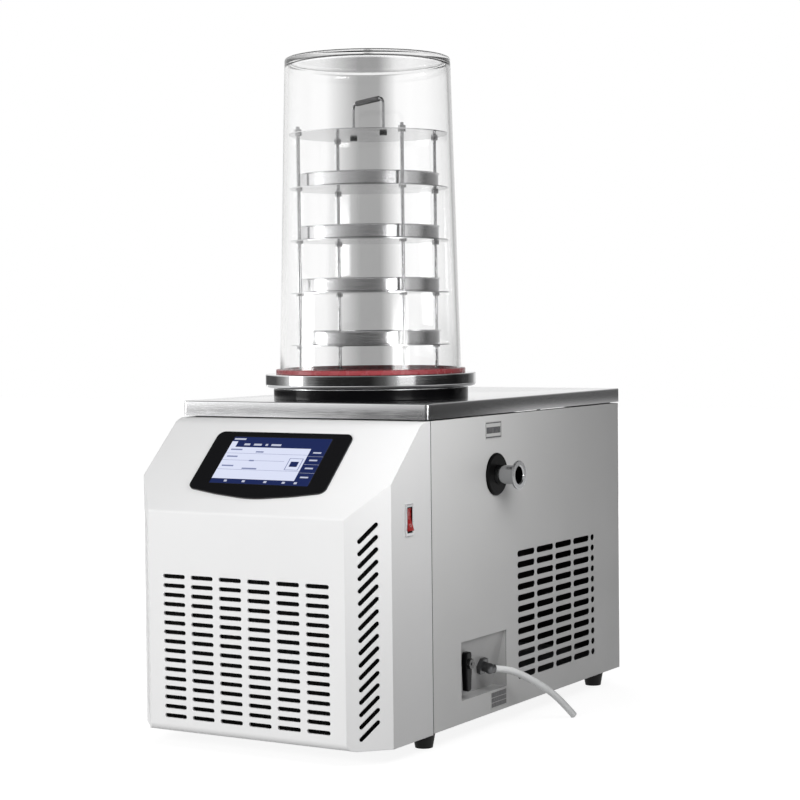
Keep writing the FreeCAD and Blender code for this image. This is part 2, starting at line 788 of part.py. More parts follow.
# ================================================================ power switch
rocker_radius = rocker_length / 2 + 0.9
rocker_pivot = Vector(half_width - 2.2, switch_y, switch_z)
cavity_half = rocker_radius + 0.5


def make_switch_frame():
    """Black switch housing clipped into the cover's side."""
    lip = block(half_width, half_width + switch_lip,
                switch_y - switch_size[0] / 2, switch_y + switch_size[0] / 2,
                switch_z - switch_size[1] / 2, switch_z + switch_size[1] / 2)
    edges = [edge for edge in lip.Edges if edge.BoundBox.XMin > half_width + switch_lip / 2]
    lip = lip.makeFillet(switch_lip / 3, edges)
    inset = switch_lip + seat_gap
    body = block(half_width - switch_depth, half_width + switch_lip / 2,
                 switch_y - switch_size[0] / 2 + inset, switch_y + switch_size[0] / 2 - inset,
                 switch_z - switch_size[1] / 2 + inset, switch_z + switch_size[1] / 2 - inset)
    housing = joined([lip, body])
    half_cavity = rocker_width / 2 + seat_gap
    cavity = block(rocker_pivot.x - rocker_radius - 1, half_width + switch_lip + 1,
                   switch_y - half_cavity, switch_y + half_cavity,
                   switch_z - cavity_half, switch_z + cavity_half)
    pin_half = switch_size[0] / 2 - inset - 0.4
    pin_hole = rod(rocker_pin / 2 + run_gap, rocker_pivot - Vector(0, pin_half, 0),
                   rocker_pivot + Vector(0, pin_half, 0))
    blades = []
    for step in (-1, 0, 1):
        z = switch_z + step * 10
        blades.append(block(half_width - switch_depth - 8, half_width - switch_depth + 1,
                            switch_y - 2.4, switch_y + 2.4, z - 0.4, z + 0.4))
    return joined([housing.cut([cavity, pin_hole])] + blades)


def make_switch_rocker():
    """Red rocker with its trunnions; the lower half stands proud at rest."""
    half = rocker_length / 2
    face = 5.2
    dip = half * math.tan(math.radians(rocker_tilt))
    points = [Vector(face, 0, -half), Vector(face - dip, 0, 0), Vector(face, 0, half),
              Vector(-rocker_shoulder, 0, half), Vector(-rocker_radius, 0, rocker_heel),
              Vector(-rocker_radius, 0, -rocker_heel), Vector(-rocker_shoulder, 0, -half)]
    wedge = prism(points, Vector(0, rocker_width, 0))
    wedge.translate(Vector(0, -rocker_width / 2, 0))
    swing = Part.makeCylinder(rocker_radius, rocker_width, Vector(0, -rocker_width / 2, 0), Vector(0, 1, 0))
    body = wedge.common(swing)
    pin_half = switch_size[0] / 2 - switch_lip - seat_gap - 0.6
    pin = Part.makeCylinder(rocker_pin / 2, pin_half * 2, Vector(0, -pin_half, 0), Vector(0, 1, 0))
    rocker = joined([body, pin])
    rocker.rotate(Vector(0, 0, 0), Vector(0, 1, 0), -rocker_tilt)
    rocker.translate(rocker_pivot)
    return rocker


# ================================================================ label plates
def make_label_plates():
    """Two bare plates on the right-hand panel."""
    plates = []
    plates_at = ((port_plate_place[0], deck_z - port_plate_place[1]),
                 (drain_plate_place[0], base_z + drain_plate_place[1]))
    for y, z in plates_at:
        plates.append(block(half_width, half_width + plate_sheet,
                            y - plate_size[0] / 2, y + plate_size[0] / 2,
                            z - plate_size[1] / 2, z + plate_size[1] / 2))
    return Part.makeCompound(plates)


# ================================================================ vacuum port
def axial(profile, start):
    """Solid of revolution about +X at a point; profile is (distance, radius) pairs."""
    points = [Vector(x, r, 0) for x, r in profile]
    face = Part.Face(Part.makePolygon(points + points[:1]))
    solid = face.revolve(Vector(0, 0, 0), Vector(1, 0, 0), 360)
    solid.translate(start)
    return solid


def make_port_pipe():
    """Flanged vacuum tube from the trap's wall out through the side panel."""
    length = port_face - math.sqrt(trap_radius ** 2 - (port_y - chamber_y + port_radius) ** 2) + trap_wall
    bore = port_bore / 2
    rim = port_flange[0] / 2
    profile = [(0, bore), (length, bore), (length, rim), (length - port_flange[1], rim),
               (length - port_flange[1] - port_cone, port_radius), (0, port_radius)]
    pipe = axial(profile, Vector(port_face - length, port_y, port_z))
    return pipe.cut(Part.makeCylinder(trap_radius, trap_depth, Vector(0, chamber_y, trap_floor)))


def make_port_grommet():
    """Rubber bush that closes the panel round the vacuum tube."""
    bore = port_radius + seat_gap
    neck = port_radius + grommet_neck
    outer = grommet_flange / 2
    back = -panel_sheet - seat_gap
    profile = [(back - grommet_lip, bore), (grommet_lip, bore), (grommet_lip, outer - grommet_lip / 2),
               (grommet_lip / 2, outer), (0, outer), (0, neck), (back, neck), (back, outer - grommet_lip),
               (back - grommet_lip, outer - grommet_lip * 2)]
    return axial(profile, Vector(half_width, port_y, port_z))


# ================================================================ drain recess and valve
tilt = math.radians(recess_tilt)
wall_out = Vector(math.cos(tilt), 0, -math.sin(tilt))     # out of the sloped wall


def wall_point(y, z):
    """Point on the front of the recess's sloped wall."""
    depth = recess_top_depth + (recess_z + recess_tall - z) * math.tan(tilt)
    return Vector(half_width - depth, y, z)


def make_drain_recess():
    """Folded pocket whose back wall leans away from the panel towards its foot."""
    low = recess_z
    top = recess_z + recess_tall

    def pocket(grow):
        back = grow / math.cos(tilt)
        lean = grow * math.tan(tilt)
        points = [Vector(half_width + 1, 0, low - grow), Vector(half_width + 1, 0, top + grow),
                  Vector(half_width - recess_top_depth - back + lean, 0, top + grow),
                  Vector(half_width - recess_low_depth - back - lean, 0, low - grow)]
        body = prism(points, Vector(0, recess_y[1] - recess_y[0] + grow * 2, 0))
        body.translate(Vector(0, recess_y[0] - grow, 0))
        return body

    lip_x = half_width - panel_sheet - seat_gap
    outside = block(lip_x, half_width + 2, recess_y[0] - 20, recess_y[1] + 20, low - 20, top + 20)
    outer = pocket(recess_sheet).cut(outside)
    lip = block(lip_x - recess_sheet, lip_x, recess_y[0] - recess_lip, recess_y[1] + recess_lip,
                low - recess_lip, top + recess_lip)
    lip = lip.cut(block(0, half_width, -cover_reach, recess_y[0] - recess_lip, 0, deck_z))
    liner = joined([outer, lip]).cut(pocket(0))
    holes = []
    for foot, way, radius in ((lever_pivot, valve_out, stem_diameter / 2),
                              (fitting_foot, wall_out, fitting_stub / 2)):
        holes.append(rod(radius + seat_gap, foot - way * 6, foot + way * 3))
    return liner.cut(holes)


valve_out = Vector(1, 0, 0)       # the valve's stem is level, so that its lever hangs upright
across_wall = Vector(0, 1, 0)
lever_pivot = wall_point(lever_y, base_z + lever_height)
fitting_foot = wall_point(fitting_y, base_z + fitting_height)
valve_behind = recess_sheet + valve_ball / 2 + valve_wall + 3.0
valve_centre = lever_pivot - valve_out * (valve_behind + neck_stand / 2)
fitting_tail = fitting_foot - wall_out * valve_behind


def make_drain_valve_body():
    """Ball-valve body behind the recess, bored along Y, with a neck for the stem."""
    outer = valve_ball / 2 + valve_wall
    half_length = valve_ball / 2 + valve_wall + 5
    core = Part.makeCylinder(outer, half_length * 2, valve_centre - across_wall * half_length, across_wall)
    neck = rod(stem_diameter / 2 + 3, valve_centre, lever_pivot - valve_out * neck_stand)
    body = joined([core, neck])
    seat = Part.makeSphere(valve_ball / 2 + run_gap, valve_centre, across_wall)
    bore = Part.makeCylinder(drain_pipe_diameter / 2 + run_gap, half_length * 2 + 2,
                             valve_centre - across_wall * (half_length + 1), across_wall)
    narrow = Part.makeCylinder(valve_bore / 2, half_length * 2, valve_centre - across_wall * half_length,
                               across_wall)
    stop = Part.makeCylinder(drain_pipe_diameter, valve_ball + 4,
                             valve_centre - across_wall * (valve_ball / 2 + 2),
                             across_wall)
    stem_hole = rod(stem_diameter / 2 + run_gap, valve_centre, lever_pivot + valve_out)
    return body.cut([seat, bore.cut(stop), narrow, stem_hole])


def make_drain_stem():
    """Ball and stem turned in one, with a cross bore; the bore is shut at rest."""
    ball = Part.makeSphere(valve_ball / 2, valve_centre)
    stem = rod(stem_diameter / 2, valve_centre, lever_pivot + valve_out * (lever_stand + lever_size[2]))
    tip = rod(stem_diameter / 4, lever_pivot + valve_out * (lever_stand + lever_size[2] / 2),
              lever_pivot + valve_out * (lever_stand + lever_size[2] + lever_nut[1] + 1))
    rise = Vector(0, 0, valve_ball)
    bore = rod(valve_bore / 2, valve_centre - rise, valve_centre + rise)
    return joined([ball, stem, tip]).cut(bore)


def make_drain_lever():
    """Black lever, a little narrower at both ends; it hangs upright when the drain is shut."""
    width, length, thick = lever_size
    half = width / 2
    low = lever_above - length
    corners = [Vector(-half * 0.9, lever_above, 0), Vector(-half, -4, 0), Vector(-half, -12, 0),
               Vector(-half * 0.72, low, 0), Vector(half * 0.72, low, 0), Vector(half, -12, 0),
               Vector(half, -4, 0), Vector(half * 0.9, lever_above, 0)]
    radii = [3.5, 12, 12, 4, 4, 12, 12, 3.5]
    outline = rounded_outline(corners, radii)
    handle = Part.Face(outline).extrude(Vector(0, 0, thick))
    rims = [edge for edge in handle.Edges
            if edge.BoundBox.ZLength < 0.01 and edge.BoundBox.ZMin > thick / 2]
    handle = handle.makeFillet(1.6, rims)
    handle = handle.cut(Part.makeCylinder(stem_diameter / 2 + run_gap, thick + 2, Vector(0, 0, -1)))
    return placed(handle, lever_pivot + valve_out * lever_stand, across_wall, Vector(0, 0, 1))


def make_lever_nut():
    """Nut that holds the lever on its stem."""
    base = lever_pivot + valve_out * (lever_stand + lever_size[2])
    nut = hexagon(lever_nut[0], lever_nut[1], base, valve_out)
    return nut.cut(rod(stem_diameter / 4 + run_gap, base - valve_out, base + valve_out * (lever_nut[1] + 1)))


# free hose, from its seat on the elbow: down from the recess to the bench, along +X and +Y
hose_route = [Vector(0, 0, 0), Vector(13, 17.5, -2.5), Vector(26.5, 42, -15),
              Vector(40, 69, -32.5), Vector(52.5, 96, -53.5), Vector(63, 120.5, -80.5)]
barb_dir = (hose_route[1] - hose_route[0]).normalize()
elbow = fitting_foot + wall_out * fitting_reach
hose_start = elbow + barb_dir * (fitting_stub / 2 + 1)


def make_drain_fitting():
    """Bulkhead elbow: nut on the wall, stub, elbow and the seat of the hose."""
    nut = hexagon(fitting_nut[0], fitting_nut[1], fitting_foot, wall_out)
    back_nut = hexagon(fitting_nut[0], fitting_nut[1],
                       fitting_foot - wall_out * (recess_sheet + fitting_nut[1]), wall_out)
    stub = rod(fitting_stub / 2, fitting_tail, elbow)
    ball = Part.makeSphere(fitting_stub / 2 + 0.6, elbow)
    seat = rod(hose_diameter / 2 + 1.0, elbow, hose_start)
    knuckle = Part.makeSphere(fitting_stub / 2, fitting_tail)
    return joined([nut, back_nut, stub, ball, seat, knuckle])


def make_drain_pipe():
    """Copper tube from the trap's floor to the valve, and on to the bulkhead elbow."""
    radius = drain_pipe_diameter / 2
    half_length = valve_ball / 2 + valve_wall + 5
    inlet = valve_centre - across_wall * (half_length - 3)
    outlet = valve_centre + across_wall * (half_length - 3)
    end = fitting_tail - across_wall * (fitting_stub / 2 + seat_gap)
    fall = 40.0
    start = Vector(0, chamber_y, trap_floor - trap_wall - insulation_wall - fall)
    bend_y = inlet.y - line_turn
    path = [Vector(0, chamber_y, trap_floor - trap_wall - 0.5), start, Vector(0, bend_y, start.z - fall),
            Vector(inlet.x, bend_y, inlet.z + 12), Vector(inlet.x, bend_y, inlet.z), inlet]
    first = bent_tube(path, radius)
    lead = across_wall * line_lead
    second = bent_tube([outlet, outlet + lead, end - lead, end], radius)
    return Part.makeCompound([first, second])


# ---------------------------------------------------------------- free drain hose

def tangent_path(points):
    """Straight runs joined by tangent arcs, each as large as its two runs allow."""
    edges = []
    radii = []
    start = points[0]
    for index in range(1, len(points) - 1):
        corner = points[index]
        before = points[index - 1] - corner
        after = points[index + 1] - corner
        reach = 0.45 * min(before.Length, after.Length)
        before.normalize()
        after.normalize()
        half = before.getAngle(after) / 2
        radius = reach * math.tan(half)
        bisector = (before + after).normalize()
        middle = corner + bisector * (radius / math.sin(half) - radius)
        first = corner + before * reach
        last = corner + after * reach
        edges.append(Part.LineSegment(start, first).toShape())
        edges.append(Part.Arc(first, middle, last).toShape())
        radii.append(radius)
        start = last
    edges.append(Part.LineSegment(start, points[-1]).toShape())
    return Part.Wire(edges), radii


def make_drain_hose():
    """Silicone hose from the elbow down to the bench; its far end is open and bare."""
    points = [hose_start + step for step in hose_route]
    path, radii = tangent_path(points)
    direction = (points[1] - points[0]).normalize()
    ends = Part.Wire(Part.makeCircle(hose_diameter / 2, points[0], direction))
    hose = path.makePipeShell([ends], True, False)
    print("hose length", round(path.Length, 1), "radii", [round(radius, 1) for radius in radii])
    print("hose volume over section x length",
          round(hose.Volume / (math.pi * hose_diameter ** 2 / 4 * path.Length), 4))
    print("hose end", points[-1], "start", points[0], "barb", barb_dir, "lowest", hose.BoundBox.ZMin)
    return hose


# ================================================================ drying chamber
def make_cold_trap():
    """Stainless pot hung in the deck by its out-turned lip."""
    inner = trap_radius
    outer = trap_radius + trap_wall
    profile = [(0, trap_floor - trap_wall), (outer, trap_floor - trap_wall), (outer, collar_top),
               (trap_lip, collar_top), (trap_lip, lip_top), (inner, lip_top), (inner, trap_floor),
               (0, trap_floor)]
    pot = turned(profile, 0, chamber_y)
    drain = Part.makeCylinder(drain_pipe_diameter / 2 + run_gap, trap_wall * 4,
                              Vector(0, chamber_y, trap_floor - trap_wall * 2))
    port = Part.makeCylinder(port_radius + run_gap, trap_radius * 2, Vector(0, port_y, port_z),
                             Vector(1, 0, 0))
    return pot.cut([drain, port])


def make_chamber_collar():
    """Black insulating ring between the deck and the flange."""
    return ring(collar_radius, trap_radius + trap_wall + seat_gap, 0, chamber_y, deck_z, collar_top)


def make_flange_ring():
    """Polished ring with a nosed lower edge and a ledge for the rack's base."""
    nose = [(flange_radius - inset, lip_top + rise) for inset, rise in flange_nose]
    profile = [(trap_radius, lip_top)] + nose
    profile += [(flange_radius, flange_top - 1.2),
               (flange_radius - 1.2, flange_top), (trap_radius + ledge_width, flange_top),
               (trap_radius + ledge_width, flange_top - ledge_depth),
               (trap_radius, flange_top - ledge_depth)]
    return turned(profile, 0, chamber_y)


gasket_out = jar_foot_radius + gasket_lip + seat_gap
gasket_in = jar_foot_radius - jar_wall - gasket_inner[0] - seat_gap


def make_jar_gasket():
    """Red silicone channel under the jar's foot."""
    outer_lip = jar_foot_radius + seat_gap
    inner_lip = jar_foot_radius - jar_wall - seat_gap - 0.5
    top = flange_top + gasket_height
    profile = [(gasket_in, flange_top), (gasket_out, flange_top),
               (gasket_out, top - 1), (gasket_out - 1, top),
               (outer_lip, top), (outer_lip, jar_foot), (inner_lip, jar_foot),
               (inner_lip, flange_top + gasket_inner[1]), (gasket_in, flange_top + gasket_inner[1])]
    return turned(profile, 0, chamber_y)


def make_bell_jar():
    """Clear acrylic jar: a slightly tapered wall closed by a flat lid, open below."""
    top = jar_foot + jar_height
    foot_in = jar_foot_radius - jar_wall
    top_in = jar_top_radius - jar_wall
    profile = [(foot_in, jar_foot), (jar_foot_radius, jar_foot), (jar_top_radius, top - jar_round),
               (jar_top_radius - jar_round, top), (0, top), (0, top - jar_lid), (top_in, top - jar_lid)]
    return turned(profile, 0, chamber_y)


coil_gap_angle = 8.0      # each turn stops short and slopes up to the next
coil_start_angle = 180.0
chord_sag = (trap_radius + coil_tube) * (1 - math.cos(math.radians(coil_gap_angle / 2)))
coil_radius = trap_radius + trap_wall + coil_tube / 2 + coil_braze + chord_sag + seat_gap
insulation_in = coil_radius + coil_tube / 2 + coil_braze + seat_gap
insulation_out = insulation_in + insulation_wall


def coil_levels():
    """Heights of the evaporator's turns, clear of the vacuum port."""
    below, above = coil_turns
    reach = port_radius + coil_clear
    levels = [port_z - reach - (below - 1 - turn) * coil_pitch for turn in range(below)]
    levels += [port_z + reach + turn * coil_pitch for turn in range(above)]
    return levels




def make_evaporator_coil():
    """Copper tube wound on the trap: flat turns linked by short slopes, with two tails."""
    radius = coil_tube / 2
    knuckle = radius + coil_braze
    levels = coil_levels()
    begin = coil_start_angle + coil_gap_angle / 2
    finish = coil_start_angle - coil_gap_angle / 2
    shapes = []
    for z in levels:
        turn = Part.makeTorus(coil_radius, radius, Vector(), Vector(0, 0, 1), -180, 180,
                              360 - coil_gap_angle)
        turn.rotate(Vector(), Vector(0, 0, 1), begin)
        turn.translate(Vector(0, chamber_y, z))
        shapes.append(turn)
    for lower, upper in zip(levels, levels[1:]):
        start = polar(coil_radius, finish, 0, chamber_y, lower)
        end = polar(coil_radius, begin, 0, chamber_y, upper)
        shapes += [rod(radius, start, end), Part.makeSphere(knuckle, start), Part.makeSphere(knuckle, end)]
    first = polar(coil_radius, begin, 0, chamber_y, levels[0])
    last = polar(coil_radius, finish, 0, chamber_y, levels[-1])
    shapes.append(Part.makeSphere(knuckle, first))
    shapes.append(Part.makeSphere(knuckle, last))
    shapes.append(rod(radius, first, coil_inlet()))
    shapes.append(rod(radius, last, coil_outlet()))
    return joined(shapes)


def coil_inlet():
    """End of the lower tail, outside the insulation."""
    first = polar(coil_radius, coil_start_angle + coil_gap_angle / 2, 0, chamber_y, coil_levels()[0])
    return Vector(-insulation_out - coil_tail, first.y, first.z)


def coil_outlet():
    """End of the upper tail, outside the insulation."""
    last = polar(coil_radius, coil_start_angle - coil_gap_angle / 2, 0, chamber_y, coil_levels()[-1])
    return Vector(-insulation_out - coil_tail, last.y, last.z)


def make_trap_insulation():
    """Foam jacket round the trap and its coil."""
    floor_top = trap_floor - trap_wall
    jacket = turned([(0, floor_top - insulation_wall), (insulation_out, floor_top - insulation_wall),
                     (insulation_out, deck_under - frame_leg), (insulation_in, deck_under - frame_leg),
                     (insulation_in, floor_top), (0, floor_top)], 0, chamber_y)
    port = Part.makeCylinder(port_radius + seat_gap, insulation_out + 2, Vector(0, port_y, port_z),
                             Vector(1, 0, 0))
    drain = Part.makeCylinder(drain_pipe_diameter / 2 + seat_gap, insulation_wall + 2,
                              Vector(0, chamber_y, floor_top - insulation_wall - 1))
    tails = []
    for end in (coil_inlet(), coil_outlet()):
        tails.append(Part.makeCylinder(coil_tube / 2 + seat_gap, insulation_wall + 30, end,
                                       Vector(1, 0, 0)))
    return jacket.cut([port, drain] + tails)


# ================================================================ shelf rack
rack_floor = flange_top - ledge_depth
rack_base_top = rack_floor + rack_base_sheet
rack_top_z = flange_top + rack_top_height
shelf_levels = [flange_top + shelf_first + index * shelf_pitch for index in range(shelf_count)]
rod_points = [polar(rod_circle, rack_turn + 90 * index, 0, chamber_y, 0) for index in range(4)]


def rod_holes(z0, z1):
    """Cutters for the four rods through a disc."""
    return [Part.makeCylinder(rod_diameter / 2 + run_gap, z1 - z0 + 2, Vector(place.x, place.y, z0 - 1))
            for place in rod_points]


def make_rack_base():
    """Ring that carries the rack on the flange's ledge."""
    outer = trap_radius + ledge_width - seat_gap
    plate = ring(outer, rack_base_inner, 0, chamber_y, rack_floor, rack_base_top)
    return plate.cut(rod_holes(rack_floor, rack_base_top))


def make_rack_disc(z):
    """Thin round sheet on the four rods."""
    disc = Part.makeCylinder(rack_disc_radius, rack_disc_sheet, Vector(0, chamber_y, z))
    return disc.cut(rod_holes(z, z + rack_disc_sheet))


def make_rack_top():
    """Top disc, drilled for the rods and for the handle's two ends."""
    disc = make_rack_disc(rack_top_z)
    holes = []
    for sign in (-1, 1):
        foot = polar(handle_span / 2 * sign, rack_turn, 0, chamber_y, rack_top_z - 1)
        holes.append(Part.makeCylinder(handle_wire / 2 + run_gap, rack_disc_sheet + 2, foot))
    return disc.cut(holes)


def make_rack_rods():
    """Four upright rods from the base ring past the top disc."""
    length = rack_top_z + rack_disc_sheet + rod_tip - rack_floor
    rods = []
    for place in rod_points:
        foot = Vector(place.x, place.y, rack_floor)
        rods.append(Part.makeCylinder(rod_diameter / 2, length, foot))
    return Part.makeCompound(rods)


def make_rack_nuts():
    """Nuts under every disc, on the base ring and the top disc, and on the handle's feet."""
    across, height = nut_size
    seats = [level - height for level in shelf_levels] + [rack_top_z - height, rack_top_z + rack_disc_sheet,
                                                          rack_base_top]
    nuts = []
    for place in rod_points:
        for z in seats:
            nut = hexagon(across, height, Vector(place.x, place.y, z), Vector(0, 0, 1))
            hole = Part.makeCylinder(rod_diameter / 2 + run_gap, height + 2,
                                     Vector(place.x, place.y, z - 1))
            nuts.append(nut.cut(hole))
    for sign in (-1, 1):
        foot = polar(handle_span / 2 * sign, rack_turn, 0, chamber_y, rack_top_z - height)
        nut = hexagon(across, height, foot, Vector(0, 0, 1))
        hole = Part.makeCylinder(handle_wire / 2 + run_gap, height + 2, foot - Vector(0, 0, 1))
        nuts.append(nut.cut(hole))
    return Part.makeCompound(nuts)


def make_rack_handle():
    """Bent rod with a thicker grip, its feet through the top disc into their nuts."""
    radius = handle_wire / 2
    base = rack_top_z - nut_size[1]
    top = rack_top_z + rack_disc_sheet + handle_height
    half = handle_span / 2
    left = polar(-half, rack_turn, 0, chamber_y, base)
    right = polar(half, rack_turn, 0, chamber_y, base)
    across = (right - left).normalize()
    rise = Vector(0, 0, 1)
    bend = handle_bend
    left_top = Vector(left.x, left.y, top)
    right_top = Vector(right.x, right.y, top)
    shapes = [rod(radius, left, left_top - rise * bend), rod(radius, right, right_top - rise * bend),
              rod(radius, left_top + across * bend, right_top - across * bend)]
    for corner, inward in ((left_top, across), (right_top, across * -1)):
        start = corner - rise * bend
        end = corner + inward * bend
        centre = start + inward * bend
        middle = centre + (rise - inward).normalize() * bend
        path = Part.Wire([Part.Arc(start, middle, end).toShape()])
        circle = Part.Wire(Part.makeCircle(radius, start, rise))
        shapes.append(path.makePipeShell([circle], True, False))
    grip_half = handle_grip[1] / 2
    centre = (left_top + right_top) * 0.5
    shapes.append(rod(handle_grip[0] / 2, centre - across * grip_half, centre + across * grip_half))
    return joined(shapes)


def make_tray(level):
    """Shallow pressed dish that stands loose on its shelf."""
    floor = level + rack_disc_sheet
    inner = tray_radius - tray_sheet
    rim = tray_radius + tray_rim - tray_sheet
    top = floor + tray_depth
    profile = [(0, floor), (tray_radius, floor), (tray_radius, top - tray_rim), (rim, top - tray_rim),
               (rim, top), (inner, top), (inner, floor + tray_sheet), (0, floor + tray_sheet)]
    return turned(profile, 0, chamber_y)


# ================================================================ cooling
condenser_back = condenser_y + condenser_size[1]
condenser_low = pan_top + seat_gap
condenser_high = condenser_low + condenser_size[2]
condenser_mid = (condenser_low + condenser_high) / 2
shroud_back = condenser_back + shroud_depth


tube_pitch = condenser_size[2] / tube_rows
tube_y = (condenser_y + condenser_back) / 2
tube_levels = [condenser_low + tube_pitch * (row + 0.5) for row in range(tube_rows)]
fin_span = condenser_size[0] - tube_pitch - fin_tube - fin_sheet * 4


def make_condenser():
    """Finned block: plates threaded on rows of tube, with return bends at both ends."""
    radius = fin_tube / 2
    shapes = []
    for index in range(fin_count):
        x = -fin_span / 2 + index * (fin_span - fin_sheet) / (fin_count - 1)
        shapes.append(block(x, x + fin_sheet, condenser_y, condenser_back, condenser_low, condenser_high))
    reach = fin_span / 2 + fin_sheet
    for z in tube_levels:
        shapes.append(rod(radius, Vector(-reach, tube_y, z), Vector(reach, tube_y, z)))
    core = joined(shapes)
    bends = []
    for row in range(tube_rows - 1):
        side = 1 if row % 2 == 0 else -1
        bend = Part.makeTorus(tube_pitch / 2, radius, Vector(0, 0, 0), Vector(0, 1, 0), -180, 180, 180)
        bend.rotate(Vector(0, 0, 0), Vector(0, 1, 0), 90 * side)
        bend.translate(Vector(side * reach, tube_y, (tube_levels[row] + tube_levels[row + 1]) / 2))
        bends.append(bend)
    return joined([core] + bends)


def condenser_ports():
    """Ends of the condenser's tube: outlet at the bottom, inlet at the top."""
    reach = fin_span / 2 + fin_sheet
    top_side = -1 if tube_rows % 2 == 0 else 1
    return Vector(-reach, tube_y, tube_levels[0]), Vector(top_side * reach, tube_y, tube_levels[-1])


def make_fan_shroud():
    """Sheet hood behind the condenser with a round throat for the fan."""
    half = condenser_size[0] / 2
    hood = block(-half, half, condenser_back + seat_gap, shroud_back, condenser_low, condenser_high)
    hollow = block(-half + shroud_sheet, half - shroud_sheet, condenser_back, shroud_back - shroud_sheet,
                   condenser_low + shroud_sheet, condenser_high - shroud_sheet)
    throat = Part.makeCylinder(fan_radius + fan_tip_gap, shroud_depth + 4,
                               Vector(0, condenser_back - 1, condenser_mid), Vector(0, 1, 0))
    lip_end = shroud_back + fan_hub[1] * 0.6
    lip = Part.makeCylinder(fan_radius + fan_tip_gap + shroud_sheet, lip_end - shroud_back + shroud_sheet,
                            Vector(0, shroud_back - shroud_sheet, condenser_mid), Vector(0, 1, 0))
    bore = Part.makeCylinder(fan_radius + fan_tip_gap, lip_end - shroud_back + shroud_depth + 4,
                             Vector(0, condenser_back - 1, condenser_mid), Vector(0, 1, 0))
    foot = block(-half, half, shroud_back - shroud_sheet, shroud_back + 14, condenser_low,
                 condenser_low + shroud_sheet)
    return joined([hood.cut([hollow, throat]), lip, foot]).cut(bore)


fan_middle = shroud_back + 2.0
motor_front = fan_middle + fan_hub[1] / 2 + shaft_gap


def make_fan_blade():
    """Fan rotor: hub and twisted blades in one moulding."""
    radius, length = fan_hub
    hub = Part.makeCylinder(radius, length, Vector(0, -length / 2, 0), Vector(0, 1, 0))
    shapes = [hub]
    sweep = Part.makeCylinder(fan_radius, length * 3, Vector(0, -length * 1.5, 0), Vector(0, 1, 0))
    depth = length * 0.56
    slab = block(0, fan_radius + 1, -depth, depth, -fan_radius, fan_radius)
    for index in range(fan_blades):
        blade = block(radius - blade_root, fan_radius, -blade_sheet / 2, blade_sheet / 2,
                      -blade_half, blade_half)
        blade.rotate(Vector(0, 0, 0), Vector(1, 0, 0), 90 - fan_pitch)
        blade = blade.common(sweep).common(slab)
        blade.rotate(Vector(0, 0, 0), Vector(0, 1, 0), index * 360.0 / fan_blades)
        shapes.append(blade)
    rotor = joined(shapes)
    foot = Vector(0, -length / 2 + shaft_seat, 0)
    rotor = rotor.cut(Part.makeCylinder(shaft_diameter / 2, length, foot, Vector(0, 1, 0)))
    shaft = Part.makeCylinder(shaft_diameter / 2, length + shaft_gap + shaft_length, foot, Vector(0, 1, 0))
    rotor = joined([rotor, shaft])
    rotor.translate(Vector(0, fan_middle, condenser_mid))
    return rotor


def make_fan_motor():
    """Fan motor with a socket for the rotor's shaft."""
    start = Vector(0, motor_front, condenser_mid)
    can = Part.makeCylinder(motor_radius, motor_length, start, Vector(0, 1, 0))
    rims = [edge for edge in can.Edges if edge.BoundBox.YLength < 0.01]
    can = can.makeFillet(motor_radius / 8, rims)
    hole = Part.makeCylinder(shaft_diameter / 2 + run_gap, shaft_reach + 2, start - Vector(0, 1, 0),
                             Vector(0, 1, 0))
    return can.cut(hole)


shaft_reach = fan_hub[1] / 2 + shaft_length + shaft_seat + seat_gap


def make_fan_bracket():
    """Four-legged bracket from the shroud's lip to the back of the motor."""
    width, thick = bracket_bar
    back = motor_front + motor_length
    ring_out = fan_radius + fan_tip_gap + shroud_sheet + seat_gap
    shapes = [Part.makeCylinder(motor_radius, thick, Vector(0, back, condenser_mid), Vector(0, 1, 0))]
    for index in range(4):
        arm = block(0, ring_out + thick, back, back + thick, -width / 2, width / 2)
        leg = block(ring_out, ring_out + thick, shroud_back, back + thick, -width / 2, width / 2)
        foot = block(ring_out, ring_out + 16, shroud_back, shroud_back + thick, -width / 2, width / 2)
        spider = arm.fuse([leg, foot])
        spider.rotate(Vector(0, 0, 0), Vector(0, 1, 0), 45 + 90 * index)
        spider.translate(Vector(0, 0, condenser_mid))
        shapes.append(spider)
    return joined(shapes)


compressor_x, compressor_y = compressor_place
compressor_low = pan_top + grommet_height


def make_compressor():
    """Welded compressor can with its base plate and three pipe stubs."""
    length, width, thick = compressor_plate
    plate = block(compressor_x - length / 2, compressor_x + length / 2, compressor_y - width / 2,
                  compressor_y + width / 2, compressor_low, compressor_low + thick)
    holes = []
    for place in compressor_mounts:
        foot = Vector(place.x, place.y, compressor_low - 1)
        holes.append(Part.makeCylinder(bolt_diameter / 2 + hole_gap, thick + 2, foot))
    low = compressor_low + thick
    top = low + compressor_height
    shell = compressor_radius - compressor_seam[0]
    seam_low = low + compressor_height * 0.5
    seam_high = seam_low + compressor_seam[1]
    profile = [(0, low), (compressor_radius * 0.6, low), (shell, low + compressor_dish),
               (shell, seam_low), (compressor_radius, seam_low), (compressor_radius, seam_high),
               (shell, seam_high), (shell, top - compressor_dome), (compressor_radius * 0.8, top - 12),
               (compressor_radius * 0.45, top), (0, top)]
    can = turned(profile, compressor_x, compressor_y)
    reach, half, foot, tall = terminal_box
    box = block(compressor_x + compressor_radius * 0.7, compressor_x + compressor_radius + reach,
                compressor_y - half, compressor_y + half, low + foot, low + foot + tall)
    return joined([plate.cut(holes), can, box])


